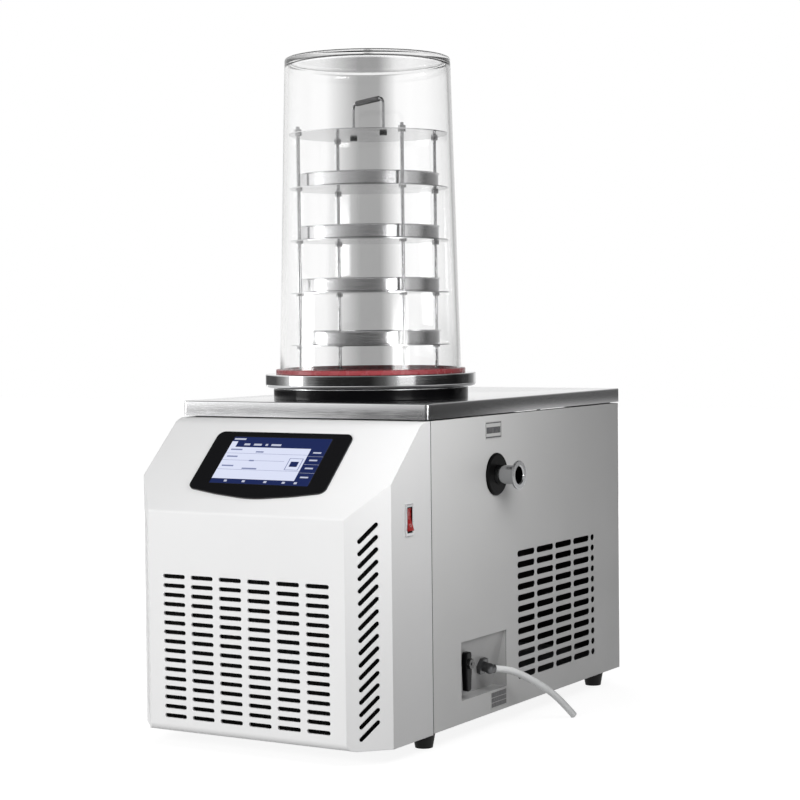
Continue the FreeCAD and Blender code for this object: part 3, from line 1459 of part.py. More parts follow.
def make_compressor_grommets():
    """Rubber mounts between the base pan and the compressor."""
    grommets = []
    for place in compressor_mounts:
        profile = [(bolt_diameter / 2 + hole_gap, pan_top), (grommet_radius, pan_top),
                   (grommet_radius, pan_top + 4), (grommet_radius - 2, pan_top + grommet_height / 2),
                   (grommet_radius, compressor_low - 4), (grommet_radius, compressor_low),
                   (bolt_diameter / 2 + hole_gap, compressor_low)]
        grommets.append(turned(profile, place.x, place.y))
    return Part.makeCompound(grommets)


compressor_top = compressor_low + compressor_plate[2] + compressor_height
left_run = -condenser_size[0] / 2 - line_diameter - 2
low_port, high_port = condenser_ports()
discharge_stub = Vector(compressor_x - 20, compressor_y - 20, compressor_top)
suction_stub = Vector(compressor_x + 20, compressor_y - 20, compressor_top)
drier_start = 34.0
riser_offset = 20.0


def make_discharge_line():
    """Hot gas line from the compressor to the top of the condenser."""
    z = high_port.z
    path = [discharge_stub, Vector(discharge_stub.x, discharge_stub.y, z),
            Vector(left_run, discharge_stub.y, z),
            Vector(left_run, high_port.y, z), high_port]
    return bent_tube(path, line_diameter / 2)


def make_liquid_line():
    """Brazed line: condenser to filter drier, then the thin tube up to the evaporator."""
    z = low_port.z
    inlet = coil_inlet()
    radius, length = drier_size
    drier_end = drier_start + length
    out_x = inlet.x - thin_line - 4
    riser_y = drier_end + riser_offset
    first = bent_tube([low_port, Vector(left_run, low_port.y, z), Vector(left_run, drier_start + 2, z)],
                      thin_line / 2)
    path = [Vector(left_run, drier_end - 2, z), Vector(left_run, riser_y, z), Vector(out_x, riser_y, z),
            Vector(out_x, riser_y, inlet.z), Vector(out_x, inlet.y, inlet.z), inlet]
    second = bent_tube(path, thin_line / 2)
    neck = thin_line / 2 + 1
    drier = turned([(0, 0), (neck, 0), (radius, radius), (radius, length - radius), (neck, length),
                    (0, length)], 0, 0)
    drier.rotate(Vector(0, 0, 0), Vector(1, 0, 0), -90)
    drier.translate(Vector(left_run, drier_start, z))
    return joined([first, second, drier])


def make_suction_line():
    """Cold gas line from the evaporator's upper tail back to the compressor."""
    outlet = coil_outlet()
    run_z = high_port.z + line_diameter * 2
    out_x = outlet.x - line_diameter - 6
    path = [outlet, Vector(out_x, outlet.y, outlet.z), Vector(out_x, outlet.y, run_z),
            Vector(out_x, suction_stub.y, run_z), Vector(suction_stub.x, suction_stub.y, run_z),
            suction_stub]
    return bent_tube(path, line_diameter / 2)


# ================================================================ electronics
shelf_z = base_z + shelf_height
shelf_back = frame_back - frame_sheet - seat_gap
shelf_half = frame_outer - frame_sheet - seat_gap
board_corner = Vector(-shelf_half + 20, shelf_back - 30 - board_size[1], shelf_z + board_post)


def make_electronics_shelf():
    """Folded shelf on the rear posts with pressed bosses for the board."""
    front = shelf_back - shelf_depth
    sheet = block(-shelf_half, shelf_half, front, shelf_back, shelf_z - panel_sheet, shelf_z)
    flange = block(-shelf_half, shelf_half, front, front + panel_sheet, shelf_z - 16, shelf_z)
    bosses = []
    for x in (8, board_size[0] - 8):
        for y in (8, board_size[1] - 8):
            foot = Vector(board_corner.x + x, board_corner.y + y, shelf_z)
            bosses.append(Part.makeCylinder(board_boss, board_post, foot))
    return joined([sheet, flange] + bosses)


def make_control_board():
    """Controller board with its relays, terminals and chips."""
    width, depth = board_size
    low = board_corner.z
    top = low + board_sheet
    x = board_corner.x
    y = board_corner.y
    shapes = [block(x, x + width, y, y + depth, low, top)]
    for index in range(4):
        left = x + relay_first + index * relay_pitch
        shapes.append(block(left, left + relay_size[0], y + depth - relay_size[1] - 8, y + depth - 8,
                            top, top + relay_size[2]))
    shapes.append(block(x + 12, x + width - 14, y + 3, y + 3 + terminal_strip[0],
                        top, top + terminal_strip[1]))
    shapes.append(block(x + chip_place[0], x + chip_place[0] + chip_size[0],
                        y + chip_place[1], y + chip_place[1] + chip_size[0], top, top + chip_size[1]))
    for index in range(3):
        foot = Vector(x + can_first + index * can_pitch, y + depth - 20, top)
        shapes.append(Part.makeCylinder(can_size[0] / 2, can_size[1], foot))
    return joined(shapes)


def make_power_supply():
    """Boxed power supply beside the board."""
    width, depth, height = supply_size
    x = shelf_half - 24 - width
    y = shelf_back - 36 - depth
    body = block(x, x + width, y, y + depth, shelf_z, shelf_z + height)
    cutters = []
    for index in range(7):
        centre = Vector(x + 20 + index * (width - 40) / 6, y, shelf_z + height / 2)
        cutters.append(slot_along(height * 0.6, 4, 6, centre, Vector(0, 0, 1), Vector(0, 1, 0)))
    return body.cut(cutters)


def socket_body(place):
    """Flanged housing in the rear panel."""
    x = place[0]
    z = base_z + place[1]
    half_x = inlet_size[0] / 2
    half_z = inlet_size[1] / 2
    body = block(x - half_x, x + half_x, rear_out - inlet_depth, rear_out, z - half_z, z + half_z)
    flange = block(x - half_x - 8, x + half_x + 8, rear_out, rear_out + 2, z - half_z - 2, z + half_z + 2)
    return joined([body, flange])


def make_power_inlet():
    """Three-pin appliance inlet; no lead is fitted."""
    x = inlet_place[0]
    z = base_z + inlet_place[1]
    face = rear_out + 2
    cavity = block(x - 12, x + 12, face - 19, face + 1, z - 8.5, z + 8.5)
    housing = socket_body(inlet_place).cut(cavity)
    pins = []
    for side in (-1, 0, 1):
        pin_z = z + (2.5 if side == 0 else -2.5)
        pins.append(block(x + side * 7 - 1, x + side * 7 + 1, face - 20, face - 6, pin_z - 2, pin_z + 2))
    tabs = []
    for side in (-1, 0, 1):
        tabs.append(block(x + side * 7 - 3, x + side * 7 + 3, rear_out - inlet_depth - 8,
                          rear_out - inlet_depth + 1, z - 0.5, z + 0.5))
    return joined([housing] + pins + tabs)


def make_pump_outlet():
    """Three-slot outlet that feeds the vacuum pump."""
    x = outlet_place[0]
    z = base_z + outlet_place[1]
    face = rear_out + 2
    slots = []
    for side in (-1, 0, 1):
        pin_z = z + (2.5 if side == 0 else -2.5)
        slots.append(block(x + side * 7 - 1.3, x + side * 7 + 1.3, face - 17, face + 1,
                           pin_z - 2.4, pin_z + 2.4))
    return socket_body(outlet_place).cut(slots)


# ================================================================ nodes
keep("base_pan", make_base_pan())
keep("feet", make_feet())
keep("base_bolts", make_base_bolts())
keep("inner_frame", make_inner_frame())
keep("side_panel_right", make_side_panel(1))
keep("side_panel_left", make_side_panel(-1))
keep("rear_panel", make_rear_panel())
keep("panel_screws", make_panel_screws())
keep("top_plate", make_top_plate())
keep("front_cover", make_front_cover())
keep("display_bezel", make_display_bezel())
keep("display_screen", make_display_screen())
keep("switch_frame", make_switch_frame())
keep("switch_rocker", make_switch_rocker())
keep("label_plates", make_label_plates())
keep("port_pipe", make_port_pipe())
keep("port_grommet", make_port_grommet())
keep("drain_recess", make_drain_recess())
keep("drain_valve_body", make_drain_valve_body())
keep("drain_stem", make_drain_stem())
keep("drain_lever", make_drain_lever())
keep("lever_nut", make_lever_nut())
keep("drain_fitting", make_drain_fitting())
keep("drain_pipe", make_drain_pipe())
keep("drain_hose", make_drain_hose())
keep("cold_trap", make_cold_trap())
keep("chamber_collar", make_chamber_collar())
keep("flange_ring", make_flange_ring())
keep("jar_gasket", make_jar_gasket())
keep("bell_jar", make_bell_jar())
keep("evaporator_coil", make_evaporator_coil())
keep("trap_insulation", make_trap_insulation())
keep("rack_base", make_rack_base())
keep("rack_top_disc", make_rack_top())
for index, level in enumerate(shelf_levels):
    keep("shelf_disc_%d" % (index + 1), make_rack_disc(level))
    keep("tray_%d" % (index + 1), make_tray(level))
keep("rack_rods", make_rack_rods())
keep("rack_nuts", make_rack_nuts())
keep("rack_handle", make_rack_handle())
keep("condenser", make_condenser())
keep("fan_shroud", make_fan_shroud())
keep("fan_blade", make_fan_blade())
keep("fan_motor", make_fan_motor())
keep("fan_bracket", make_fan_bracket())
keep("compressor", make_compressor())
keep("compressor_grommets", make_compressor_grommets())
keep("discharge_line", make_discharge_line())
keep("liquid_line", make_liquid_line())
keep("suction_line", make_suction_line())
keep("electronics_shelf", make_electronics_shelf())
keep("control_board", make_control_board())
keep("power_supply", make_power_supply())
keep("power_inlet", make_power_inlet())
keep("pump_outlet", make_pump_outlet())

for name, shape in nodes.items():
    shape.exportStep("parts/%s.step" % name)
    print(name, "solids", len(shape.Solids), "valid", shape.isValid(), "volume cm3",
          round(shape.Volume / 1000, 2))
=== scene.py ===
"""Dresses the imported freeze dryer: finishes for its carried-over nodes and finer pieces for its chamber.

Laid out as an add-on and run as a script.  Metres, +Z up, -Y is the front, +X the side with the port.
"""

import json
import math

import bmesh
import bpy
import numpy as np
from mathutils import Matrix, Vector


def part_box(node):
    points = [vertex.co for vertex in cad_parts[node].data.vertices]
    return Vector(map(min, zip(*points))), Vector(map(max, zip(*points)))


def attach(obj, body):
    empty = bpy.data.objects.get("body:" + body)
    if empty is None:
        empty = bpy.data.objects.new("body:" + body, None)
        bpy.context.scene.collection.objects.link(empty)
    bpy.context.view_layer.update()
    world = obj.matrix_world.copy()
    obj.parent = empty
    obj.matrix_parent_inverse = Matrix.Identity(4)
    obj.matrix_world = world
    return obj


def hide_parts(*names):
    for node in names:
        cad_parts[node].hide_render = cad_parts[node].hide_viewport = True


bl_info = {
    "name": "Freeze Dryer Dressing",
    "version": (1, 0, 0),
    "blender": (4, 5, 0),
    "location": "View3D > Sidebar > Freeze Dryer",
    "description": "Finishes and fine pieces for a bench-top freeze dryer",
    "category": "Object",
}

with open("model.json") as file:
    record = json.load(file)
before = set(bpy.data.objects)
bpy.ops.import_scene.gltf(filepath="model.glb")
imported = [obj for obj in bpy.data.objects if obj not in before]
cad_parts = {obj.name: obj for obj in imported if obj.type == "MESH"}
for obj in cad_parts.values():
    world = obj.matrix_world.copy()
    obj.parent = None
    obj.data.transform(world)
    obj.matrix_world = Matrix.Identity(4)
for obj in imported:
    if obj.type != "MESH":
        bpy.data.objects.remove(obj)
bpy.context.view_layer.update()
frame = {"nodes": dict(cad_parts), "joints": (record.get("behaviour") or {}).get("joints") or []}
nodes = frame["nodes"]

MM = 0.001
ROUND_STEPS = 192            # columns round a turned piece
FILLET_STEPS = 6             # rows over a rounded corner
SUPPORT = 0.25 * MM          # row kept beside a rounded corner so that flats stay flat
UP = np.array((0.0, 0.0, 1.0))


# ---------------------------------------------------------------- surfaces
def surface(name, points, close_rows=False, close_columns=False, crease=32.0):
    """Mesh of quads over a (rows, columns, 3) array of points, joined up where rows or columns close.

    Vertex (i, j) is points[i, j]; each quad joins (i, j), (i, j+1), (i+1, j+1) and (i+1, j).
    """
    rows, columns = points.shape[:2]
    i, j = np.meshgrid(np.arange(rows if close_rows else rows - 1),
                       np.arange(columns if close_columns else columns - 1), indexing="ij")
    below, beside = (i + 1) % rows, (j + 1) % columns
    quads = np.stack((i * columns + j, i * columns + beside, below * columns + beside, below * columns + j),
                     -1)
    mesh = bpy.data.meshes.new(name)
    mesh.from_pydata(points.reshape(-1, 3).tolist(), [], quads.reshape(-1, 4).tolist())
    return tidy_mesh(mesh, crease)


def tidy_mesh(mesh, crease):
    """Merges poles, turns faces outwards and shades smooth except over edges sharper than crease degrees."""
    work = bmesh.new()
    work.from_mesh(mesh)
    bmesh.ops.remove_doubles(work, verts=work.verts, dist=1e-7)
    bmesh.ops.recalc_face_normals(work, faces=work.faces)
    work.to_mesh(mesh)
    work.free()
    mesh.polygons.foreach_set("use_smooth", np.ones(len(mesh.polygons), dtype=bool))
    mesh.set_sharp_from_angle(angle=math.radians(crease))
    return mesh


def rounded(rows):
    """Closed outline of rows (x, y, rounding) with each corner replaced by an arc of its rounding.

    The arc's points are centre + radius * (cos, sin) between the two tangent points; a point is kept
    a little way along each side so that shading doesn't spread over the flats.
    """
    rows = np.asarray(rows, float)
    corners = rows[:, :2]
    out = []
    for k, radius in enumerate(rows[:, 2]):
        corner = corners[k]
        back = corners[k - 1] - corner
        ahead = corners[(k + 1) % len(corners)] - corner
        back_long, ahead_long = np.linalg.norm(back), np.linalg.norm(ahead)
        if radius <= 0 or back_long == 0 or ahead_long == 0:
            out.append(corner[None])
            continue
        back, ahead = back / back_long, ahead / ahead_long
        half = math.acos(np.clip(back @ ahead, -1, 1)) / 2
        reach = radius / math.tan(half)
        centre = corner + (back + ahead) / np.linalg.norm(back + ahead) * radius / math.sin(half)
        first, last = corner + back * reach - centre, corner + ahead * reach - centre
        t = np.linspace(0, 1, FILLET_STEPS + 1)[:, None]
        swing = math.pi - 2 * half
        arc = centre + (first * np.sin((1 - t) * swing) + last * np.sin(t * swing)) / math.sin(swing)
        if reach + SUPPORT < back_long / 2:
            out.append((corner + back * (reach + SUPPORT))[None])
        out.append(arc)
        if reach + SUPPORT < ahead_long / 2:
            out.append((corner + ahead * (reach + SUPPORT))[None])
    return np.concatenate(out)


def turned(name, outline, origin, axis=(0, 0, 1), start=(1, 0, 0), steps=ROUND_STEPS, crease=32.0):
    """Outline of (radius, height) pairs spun about an axis; it closes unless both ends lie on the axis.

    P(s, t) = origin + height(s) * axis + radius(s) * (cos t * start + sin t * axis x start).
    """
    axis, start = np.asarray(axis, float), np.asarray(start, float)
    side = np.cross(axis, start)
    t = np.linspace(0, 2 * math.pi, steps, endpoint=False)
    spoke = np.cos(t)[:, None] * start + np.sin(t)[:, None] * side
    points = np.asarray(origin) + outline[:, 1, None, None] * axis + outline[:, 0, None, None] * spoke
    hollow = outline[0, 0] > 1e-9 or outline[-1, 0] > 1e-9
    return surface(name, points, close_rows=hollow, close_columns=True, crease=crease)


def swept(name, path, radii, flat_normal, steps=24, crease=40.0):
    """Round tube along a path that lies in a plane, with a radius for each point of the path.

    P(i, t) = path(i) + radius(i) * (cos t * n + sin t * (tangent(i) x n)), n the plane's normal; ends closed.
    """
    tangent = np.gradient(path, axis=0)
    tangent /= np.linalg.norm(tangent, axis=1)[:, None]
    normal = np.asarray(flat_normal, float)
    side = np.cross(tangent, normal)
    t = np.linspace(0, 2 * math.pi, steps, endpoint=False)
    ringed = np.cos(t)[None, :, None] * normal + np.sin(t)[None, :, None] * side[:, None, :]
    points = path[:, None, :] + ringed * radii[:, None, None]
    caps = [np.repeat(path[None, k], steps, 0)[None] for k in (0, -1)]
    return surface(name, np.concatenate((caps[0], points, caps[1])), close_columns=True, crease=crease)


def panes(name, rows, place, across, up, lift):
    """Flat rectangles on a plane, one quad for each row (x0, x1, y0, y1, layer, finish index).

    P = place + x * across + y * up + layer * lift; sizes in millimetres.
    """
    rows = np.asarray(rows, float)
    x = rows[:, [0, 1, 1, 0]] * MM
    y = rows[:, [2, 2, 3, 3]] * MM
    points = (np.asarray(place) + x[..., None] * np.asarray(across) + y[..., None] * np.asarray(up)
              + rows[:, 4, None, None] * np.asarray(lift))
    quads = np.arange(len(rows) * 4).reshape(-1, 4)
    mesh = bpy.data.meshes.new(name)
    mesh.from_pydata(points.reshape(-1, 3).tolist(), [], quads.tolist())
    mesh.polygons.foreach_set("material_index", rows[:, 5].astype(int))
    return mesh


def add_piece(mesh, finishes, body, replaces=()):
    """Puts a mesh in the scene as a piece that rides on a body."""
    piece = bpy.data.objects.new(mesh.name, mesh)
    bpy.context.scene.collection.objects.link(piece)
    for material in finishes:
        mesh.materials.append(material)
    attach(piece, body)
    if replaces:
        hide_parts(*replaces)
    return piece


def box_corners(node):
    """Lowest and highest corner of a node's box."""
    low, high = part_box(node)
    return np.array(low), np.array(high)


# ---------------------------------------------------------------- finishes
class Finish:
    """One procedural material; each call adds a layer of detail read from Object coordinates."""

    def __init__(self, name, colour, roughness, metallic=0.0, **sockets):
        self.material = bpy.data.materials.new(name)
        self.material.use_nodes = True
        self.tree = self.material.node_tree
        self.shader = next(n for n in self.tree.nodes if n.type == "BSDF_PRINCIPLED")
        self.shader.inputs["Base Color"].default_value = (*colour, 1.0)
        self.shader.inputs["Roughness"].default_value = roughness
        self.shader.inputs["Metallic"].default_value = metallic
        for label, value in sockets.items():
            self.shader.inputs[label.replace("_", " ")].default_value = value
        self.place = self.tree.nodes.new("ShaderNodeTexCoord").outputs["Object"]
        self.normal = None

    def node(self, kind, **values):
        """New node with its settings, and its inputs as values or other nodes' outputs."""
        node = self.tree.nodes.new(kind)
        for label, value in values.items():
            if hasattr(node, label):
                setattr(node, label, value)
            else:
                self.link(value, node.inputs[label.replace("_", " ")])
        return node

    def link(self, value, socket):
        """Feeds a socket from another node's output or sets it to a plain value."""
        if isinstance(value, bpy.types.NodeSocket):
            self.tree.links.new(value, socket)
        else:
            socket.default_value = value

    def maths(self, operation, *values):
        """Result of a maths node fed by sockets or numbers."""
        node = self.node("ShaderNodeMath", operation=operation)
        for value, socket in zip(values, node.inputs):
            self.link(value, socket)
        return node.outputs["Value"]

    def vectors(self, operation, *values):
        """Result of a vector maths node fed by sockets or vectors."""
        node = self.node("ShaderNodeVectorMath", operation=operation)
        for value, socket in zip(values, node.inputs):
            self.link(value, socket)
        return node.outputs["Value" if operation in ("DOT_PRODUCT", "LENGTH") else "Vector"]

    def mixed(self, share, first, second, blend="MIX"):
        """Goes from the first colour to the second by a share."""
        mix = self.node("ShaderNodeMix", data_type="RGBA", blend_type=blend)
        for value, place in ((share, 0), (first, 6), (second, 7)):      # factor and the two colours
            self.link(value, mix.inputs[place])
        return mix.outputs[2]

    def noise(self, scale, detail=3.0, stretch=(1, 1, 1)):
        """Noise whose grain is scale cells to the metre, stretched per axis."""
        mapping = self.node("ShaderNodeMapping", Vector=self.place, Scale=tuple(scale * s for s in stretch))
        return self.node("ShaderNodeTexNoise", Vector=mapping.outputs["Vector"], Scale=1.0, Detail=detail,
                         Roughness=0.5).outputs["Fac"]

    def ranged(self, value, low, high, start=0.3, stop=0.7):
        """Maps start..stop of a value to low..high."""
        return self.node("ShaderNodeMapRange", Value=value, From_Min=start, From_Max=stop, To_Min=low,
                         To_Max=high).outputs["Result"]

    def soften(self, radius):
        """Rounds the shading over edges by a radius."""
        self.normal = self.node("ShaderNodeBevel", samples=4, Radius=radius).outputs["Normal"]
        self.link(self.normal, self.shader.inputs["Normal"])
        return self

    def bump(self, height, depth, strength=1.0):
        """Raises the surface by a height value."""
        node = self.node("ShaderNodeBump", Height=height, Strength=strength, Distance=depth)
        if self.normal:
            self.link(self.normal, node.inputs["Normal"])
        self.normal = node.outputs["Normal"]
        self.link(self.normal, self.shader.inputs["Normal"])
        return self

    def grain(self, scale, depth, stretch=(1, 1, 1), strength=1.0):
        """Fine relief."""
        return self.bump(self.noise(scale, stretch=stretch), depth, strength)

    def polish(self, low, high, scale, stretch=(1, 1, 1)):
        """Roughness that wanders between two values."""
        self.link(self.ranged(self.noise(scale, stretch=stretch), low, high), self.shader.inputs["Roughness"])
        return self

    def tint(self, other, scale, stretch=(1, 1, 1), start=0.35, stop=0.65):
        """Base colour that wanders towards another colour."""
        return self.blend(self.ranged(self.noise(scale, stretch=stretch), 0.0, 1.0, start, stop), other)

    def blend(self, value, other):
        """Mixes the base colour so far with another by a value."""
        socket = self.shader.inputs["Base Color"]
        before = socket.links[0].from_socket if socket.is_linked else tuple(socket.default_value)
        self.link(self.mixed(value, before, (*other, 1.0)), socket)
        return self

    def within(self, low, high):
        """One inside the box between two corners and nothing outside it."""
        off = self.vectors("SUBTRACT", self.place, tuple((low + high) / 2))
        shares = self.vectors("DIVIDE", off, tuple((high - low) / 2))
        x, y, z = self.node("ShaderNodeSeparateXYZ", Vector=self.vectors("ABSOLUTE", shares)).outputs
        return self.maths("LESS_THAN", self.maths("MAXIMUM", self.maths("MAXIMUM", x, y), z), 1.0)

    def dress(self, *names):
        """Gives this finish to carried-over nodes."""
        for name in names:
            slots = nodes[name].data.materials
            slots.clear()
            slots.append(self.material)
        return self


def smooth_nodes(*names, angle=30.0):
    """Joins a node's loose triangles at render time and shades it smooth up to an angle."""
    for name in names:
        piece = nodes[name]
        weld = piece.modifiers.new("join", "WELD")
        weld.merge_threshold = 1e-6
        split = piece.modifiers.new("creases", "EDGE_SPLIT")
        split.split_angle = math.radians(angle)
        piece.data.polygons.foreach_set("use_smooth", np.ones(len(piece.data.polygons), dtype=bool))


def brushed_steel(name, tone, roughness, wander, scale, depth, stretch):
    """Steel whose relief and roughness run along the brush strokes, where stretch is small."""
    return Finish(name, tone, roughness, 1.0).polish(*wander, scale, stretch).grain(scale, depth, stretch)


def grey(tone, blue=1.0):
    """Grey with its blue raised or lowered a little."""
    return (tone, tone, tone * blue)


# ---------------------------------------------------------------- places read from the frame
jar_low, jar_high = box_corners("bell_jar")
cover_low, cover_high = box_corners("front_cover")
panel_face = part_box("side_panel_right")[1][0]        # outer face of the right side panel
chamber_foot = (jar_low + jar_high) / 2 * (1, 1, 0)  # where the chamber's axis meets the floor
rocker_pivot = np.array(next(joint["pos_m"] for joint in frame["joints"] if joint["name"] == "rocker_tilt"))


# ---------------------------------------------------------------- sizes and colours that a user may change
def colour(name, about, value):
    """Colour property."""
    return bpy.props.FloatVectorProperty(name=name, description=about, default=value, size=3, subtype="COLOR",
                                         min=0.0, max=1.0)


def length(name, about, value):
    """Length property in metres."""
    return bpy.props.FloatProperty(name=name, description=about, default=value, min=0.0, unit="LENGTH",
                                   precision=4)


def share(name, about, value):
    """Share from nothing to all."""
    return bpy.props.FloatProperty(name=name, description=about, default=value, min=0.0, max=1.0,
                                   subtype="FACTOR")


def power(name, about, value):
    """Power of a lamp in watts."""
    return bpy.props.FloatProperty(name=name, description=about, default=value, min=0.0, unit="POWER")


class DryerChamber(bpy.types.PropertyGroup):
    jar_tint: colour("Jar tint", "Colour of the jar's clear wall", (0.99, 0.99, 0.99))
    jar_wall: length("Jar wall", "Thickness of the jar's wall", 0.005)
    jar_lid: length("Jar lid", "Thickness of the jar's top", 0.007)
    jar_top: length("Jar top radius", "Radius of the jar at its top", 0.119)
    gasket: colour("Gasket", "Colour of the silicone ring under the jar", (0.30, 0.050, 0.058))
    collar: colour("Collar", "Colour of the moulded collar under the flange", (0.003, 0.003, 0.0035))
    polish: share("Flange roughness", "Roughness of the turned flange", 0.06)


class DryerRack(bpy.types.PropertyGroup):
    steel: share("Steel tone", "Brightness of the rack's and the trays' steel", 0.62)
    tray_depth: length("Tray depth", "Depth of a tray", 0.020)
    tray_sheet: length("Tray sheet", "Thickness of a tray's sheet", 0.0012)
    grip_ridges: bpy.props.IntProperty(name="Grip ridges", description="Ridges moulded on the handle's grip",
                                       default=24, min=0, max=60)


class DryerCabinet(bpy.types.PropertyGroup):
    cover: colour("Cover", "Colour of the moulded front cover", (0.82, 0.82, 0.82))
    paint: colour("Panels", "Colour of the painted side and rear panels", (0.72, 0.72, 0.715))
    deck: share("Deck tone", "Brightness of the brushed top plate", 0.78)
    bezel: colour("Bezel", "Colour of the display's glossy bezel", (0.006, 0.006, 0.007))
    rocker: colour("Rocker", "Colour of the power switch's rocker", (0.34, 0.008, 0.008))
    edge: length("Edge softening", "Radius that shading gives to folded edges", 0.0016)


class DryerDisplay(bpy.types.PropertyGroup):
    navy: colour("Navy", "Colour of the display's dark bars", (0.012, 0.022, 0.10))
    page: colour("Page", "Colour of the display's pale page", (0.72, 0.76, 0.93))
    ink: colour("Marks", "Colour of the small marks on the page", (0.22, 0.25, 0.42))
    glow: share("Glow", "Strength of the display's own light", 0.95)


class DryerFittings(bpy.types.PropertyGroup):
    rubber: colour("Rubber", "Colour of the grommet and the feet", (0.004, 0.004, 0.004))
    hose: colour("Hose", "Colour of the silicone drain hose", (0.93, 0.94, 0.94))
    hose_radius: length("Hose radius", "Outer radius of the drain hose", 0.005)
    plate: colour("Label plate", "Colour of the two bare plates", (0.62, 0.62, 0.61))


class DryerStage(bpy.types.PropertyGroup):
    key: power("Key", "Power of the large soft lamp in front", 91.0)
    back: power("Back", "Power of the soft lamp behind the left side", 80.0)
    fill: power("Fill", "Power of the small lamp beside the right side", 2.2)
    room: share("Room light", "Level of the plain light from all round", 0.20)
    floor: colour("Floor", "Colour of the floor", (0.24, 0.24, 0.24))


GROUPS = {"dryer_chamber": DryerChamber, "dryer_rack": DryerRack, "dryer_cabinet": DryerCabinet,
          "dryer_display": DryerDisplay, "dryer_fittings": DryerFittings, "dryer_stage": DryerStage}


# ---------------------------------------------------------------- stage
class DRYER_OT_stage(bpy.types.Operator):
    """Lays the floor, hangs the lamps and the surround that metal and glass mirror, and sets the camera"""
    bl_idname = "dryer.stage"
    bl_label = "Stage"

    TURN = math.radians(30.97)       # camera's azimuth from the front
    RISE = math.radians(2.34)
    ROLL = math.radians(-0.62)
    EYE = (1.5316, -2.5483, 0.5777)
    LENS, SENSOR = 91.53, 36.0       # millimetres
    AHEAD = (math.sin(TURN), -math.cos(TURN), 0.0)
    RIGHT = (math.cos(TURN), math.sin(TURN), 0.0)

    # each lamp's property, place, aim and side
    LAMPS = (("key", (-0.3, -3.4, 1.1), (0.0, 0.0, 0.3), 2.0),
             ("back", (-2.0, 2.4, 1.2), (0.0, 0.0, 0.3), 2.0),
             ("fill", (0.55, -0.34, 0.66), (0.17, -0.15, 0.35), 0.4))

    FLOOR_REACH = 9.0
    FLOOR_LIFT = (0.88, 1.0)         # floor's own light near the part and far from it
    FLOOR_FADE = (0.6, 1.4)          # how far from the middle it goes from one to the other

    TENT = 4.5                       # radius of the surround
    WALL = (-0.02, 1.1, 2.2)         # heights of its upright wall, up to the dome
    DOME = 2.0
    # brightness of the surround against azimuth in degrees, 0 on the camera's side and right positive:
    # near the floor a dark room with a narrow pale strip at each side
    LOWEST = ((-180, 0.9), (-160, 0.5), (-120, 0.12), (-98, 0.3), (-88, 0.8), (-72, 0.9), (-68, 1.05),
              (-65.5, 1.35), (-62.8, 0.86), (-60, 0.36), (-58, 0.14), (-50, 0.03), (0, 0.015), (60, 0.03),
              (104, 0.02), (115, 0.04), (118.5, 0.48), (121.3, 0.68), (124, 0.5), (140, 0.5), (165, 0.9),
              (180, 0.9))
    # level with the cabinet's top a dark room with two soft boxes
    LOW = ((-180, 0.9), (-168, 0.7), (-158, 0.10), (-124, 0.09), (-107, 0.35), (-97, 0.9), (-93, 4.0),
           (-80, 4.0), (-76, 0.8), (-69, 0.2), (-56, 0.05), (-44, 0.015), (0, 0.015), (15, 0.12), (27, 0.55),
           (32, 0.95), (46, 0.95), (49, 0.18), (60, 0.05), (76, 0.01), (104, 0.01), (130, 0.06), (146, 0.3),
           (160, 0.9), (180, 0.9))
    # level with the flange the same two soft boxes, at their brightest
    MIDDLE = ((-180, 1.0), (-140, 0.95), (-97, 1.4), (-94, 11.0), (-79, 11.0), (-75, 1.4), (-62, 1.1),
              (-48, 0.5), (-34, 0.22), (-8, 0.12), (12, 0.2), (26, 0.5), (31, 9.0), (47, 9.0), (50, 1.4),
              (62, 1.4), (66, 0.75), (86, 0.55), (94, 0.32), (103, 0.08), (115, 0.2), (146, 0.44),
              (164, 0.75), (170, 1.0), (180, 1.0))
    # above them a paler room with grey flats
    HIGH = ((-180, 0.85), (-140, 0.9), (-109, 1.4), (-80, 1.4), (-62, 1.2), (-48, 0.85), (-34, 0.6),
            (-21, 0.5), (-8, 0.34), (8, 0.3), (18, 0.36), (26, 0.62), (40, 0.9), (62, 1.0), (67, 0.7),
            (86, 0.6), (94, 0.3), (103, 0.12), (115, 0.22), (146, 0.45), (165, 0.75), (180, 0.85))
    CEILING = ((-180, 0.10), (-150, 0.05), (-90, 0.05), (0, 0.12), (180, 0.10))
    BRIGHTEST = 12.0
    # heights in metres over which each band gives way to the next
    BANDS = ((None, LOWEST), ((0.26, 0.31), LOW), ((0.41, 0.50), MIDDLE), ((0.70, 0.90), HIGH),
             ((2.70, 3.50), CEILING))
    # one grey flat with soft sides on the far side, seen through the jar: brightness against metres to
    # the right of the middle
    FLAT = ((-0.35, 1.0), (-0.15, 0.4), (-0.05, 0.4), (0.05, 1.0))
    FLAT_REACH = 0.4
    FLAT_FADE = (-4.45, -4.40)       # how far ahead of the middle the flat ends

    def camera(self, scene):
        """Camera with its own turn, rise and roll."""
        rise, roll = self.RISE, self.ROLL
        level, right = Vector(self.AHEAD), Vector(self.RIGHT)
        back = level * math.cos(rise) + Vector(UP) * math.sin(rise)
        up = back.cross(right)
        right_rolled = right * math.cos(roll) + up * math.sin(roll)
        up_rolled = up * math.cos(roll) - right * math.sin(roll)
        data = bpy.data.cameras.new("camera")
        data.lens, data.sensor_width = self.LENS, self.SENSOR
        data.clip_start, data.clip_end = 0.05, 60.0
        eye = bpy.data.objects.new("camera", data)
        scene.collection.objects.link(eye)
        turn = Matrix((right_rolled, up_rolled, back)).transposed().to_4x4()
        eye.matrix_world = Matrix.Translation(self.EYE) @ turn
        scene.camera = eye

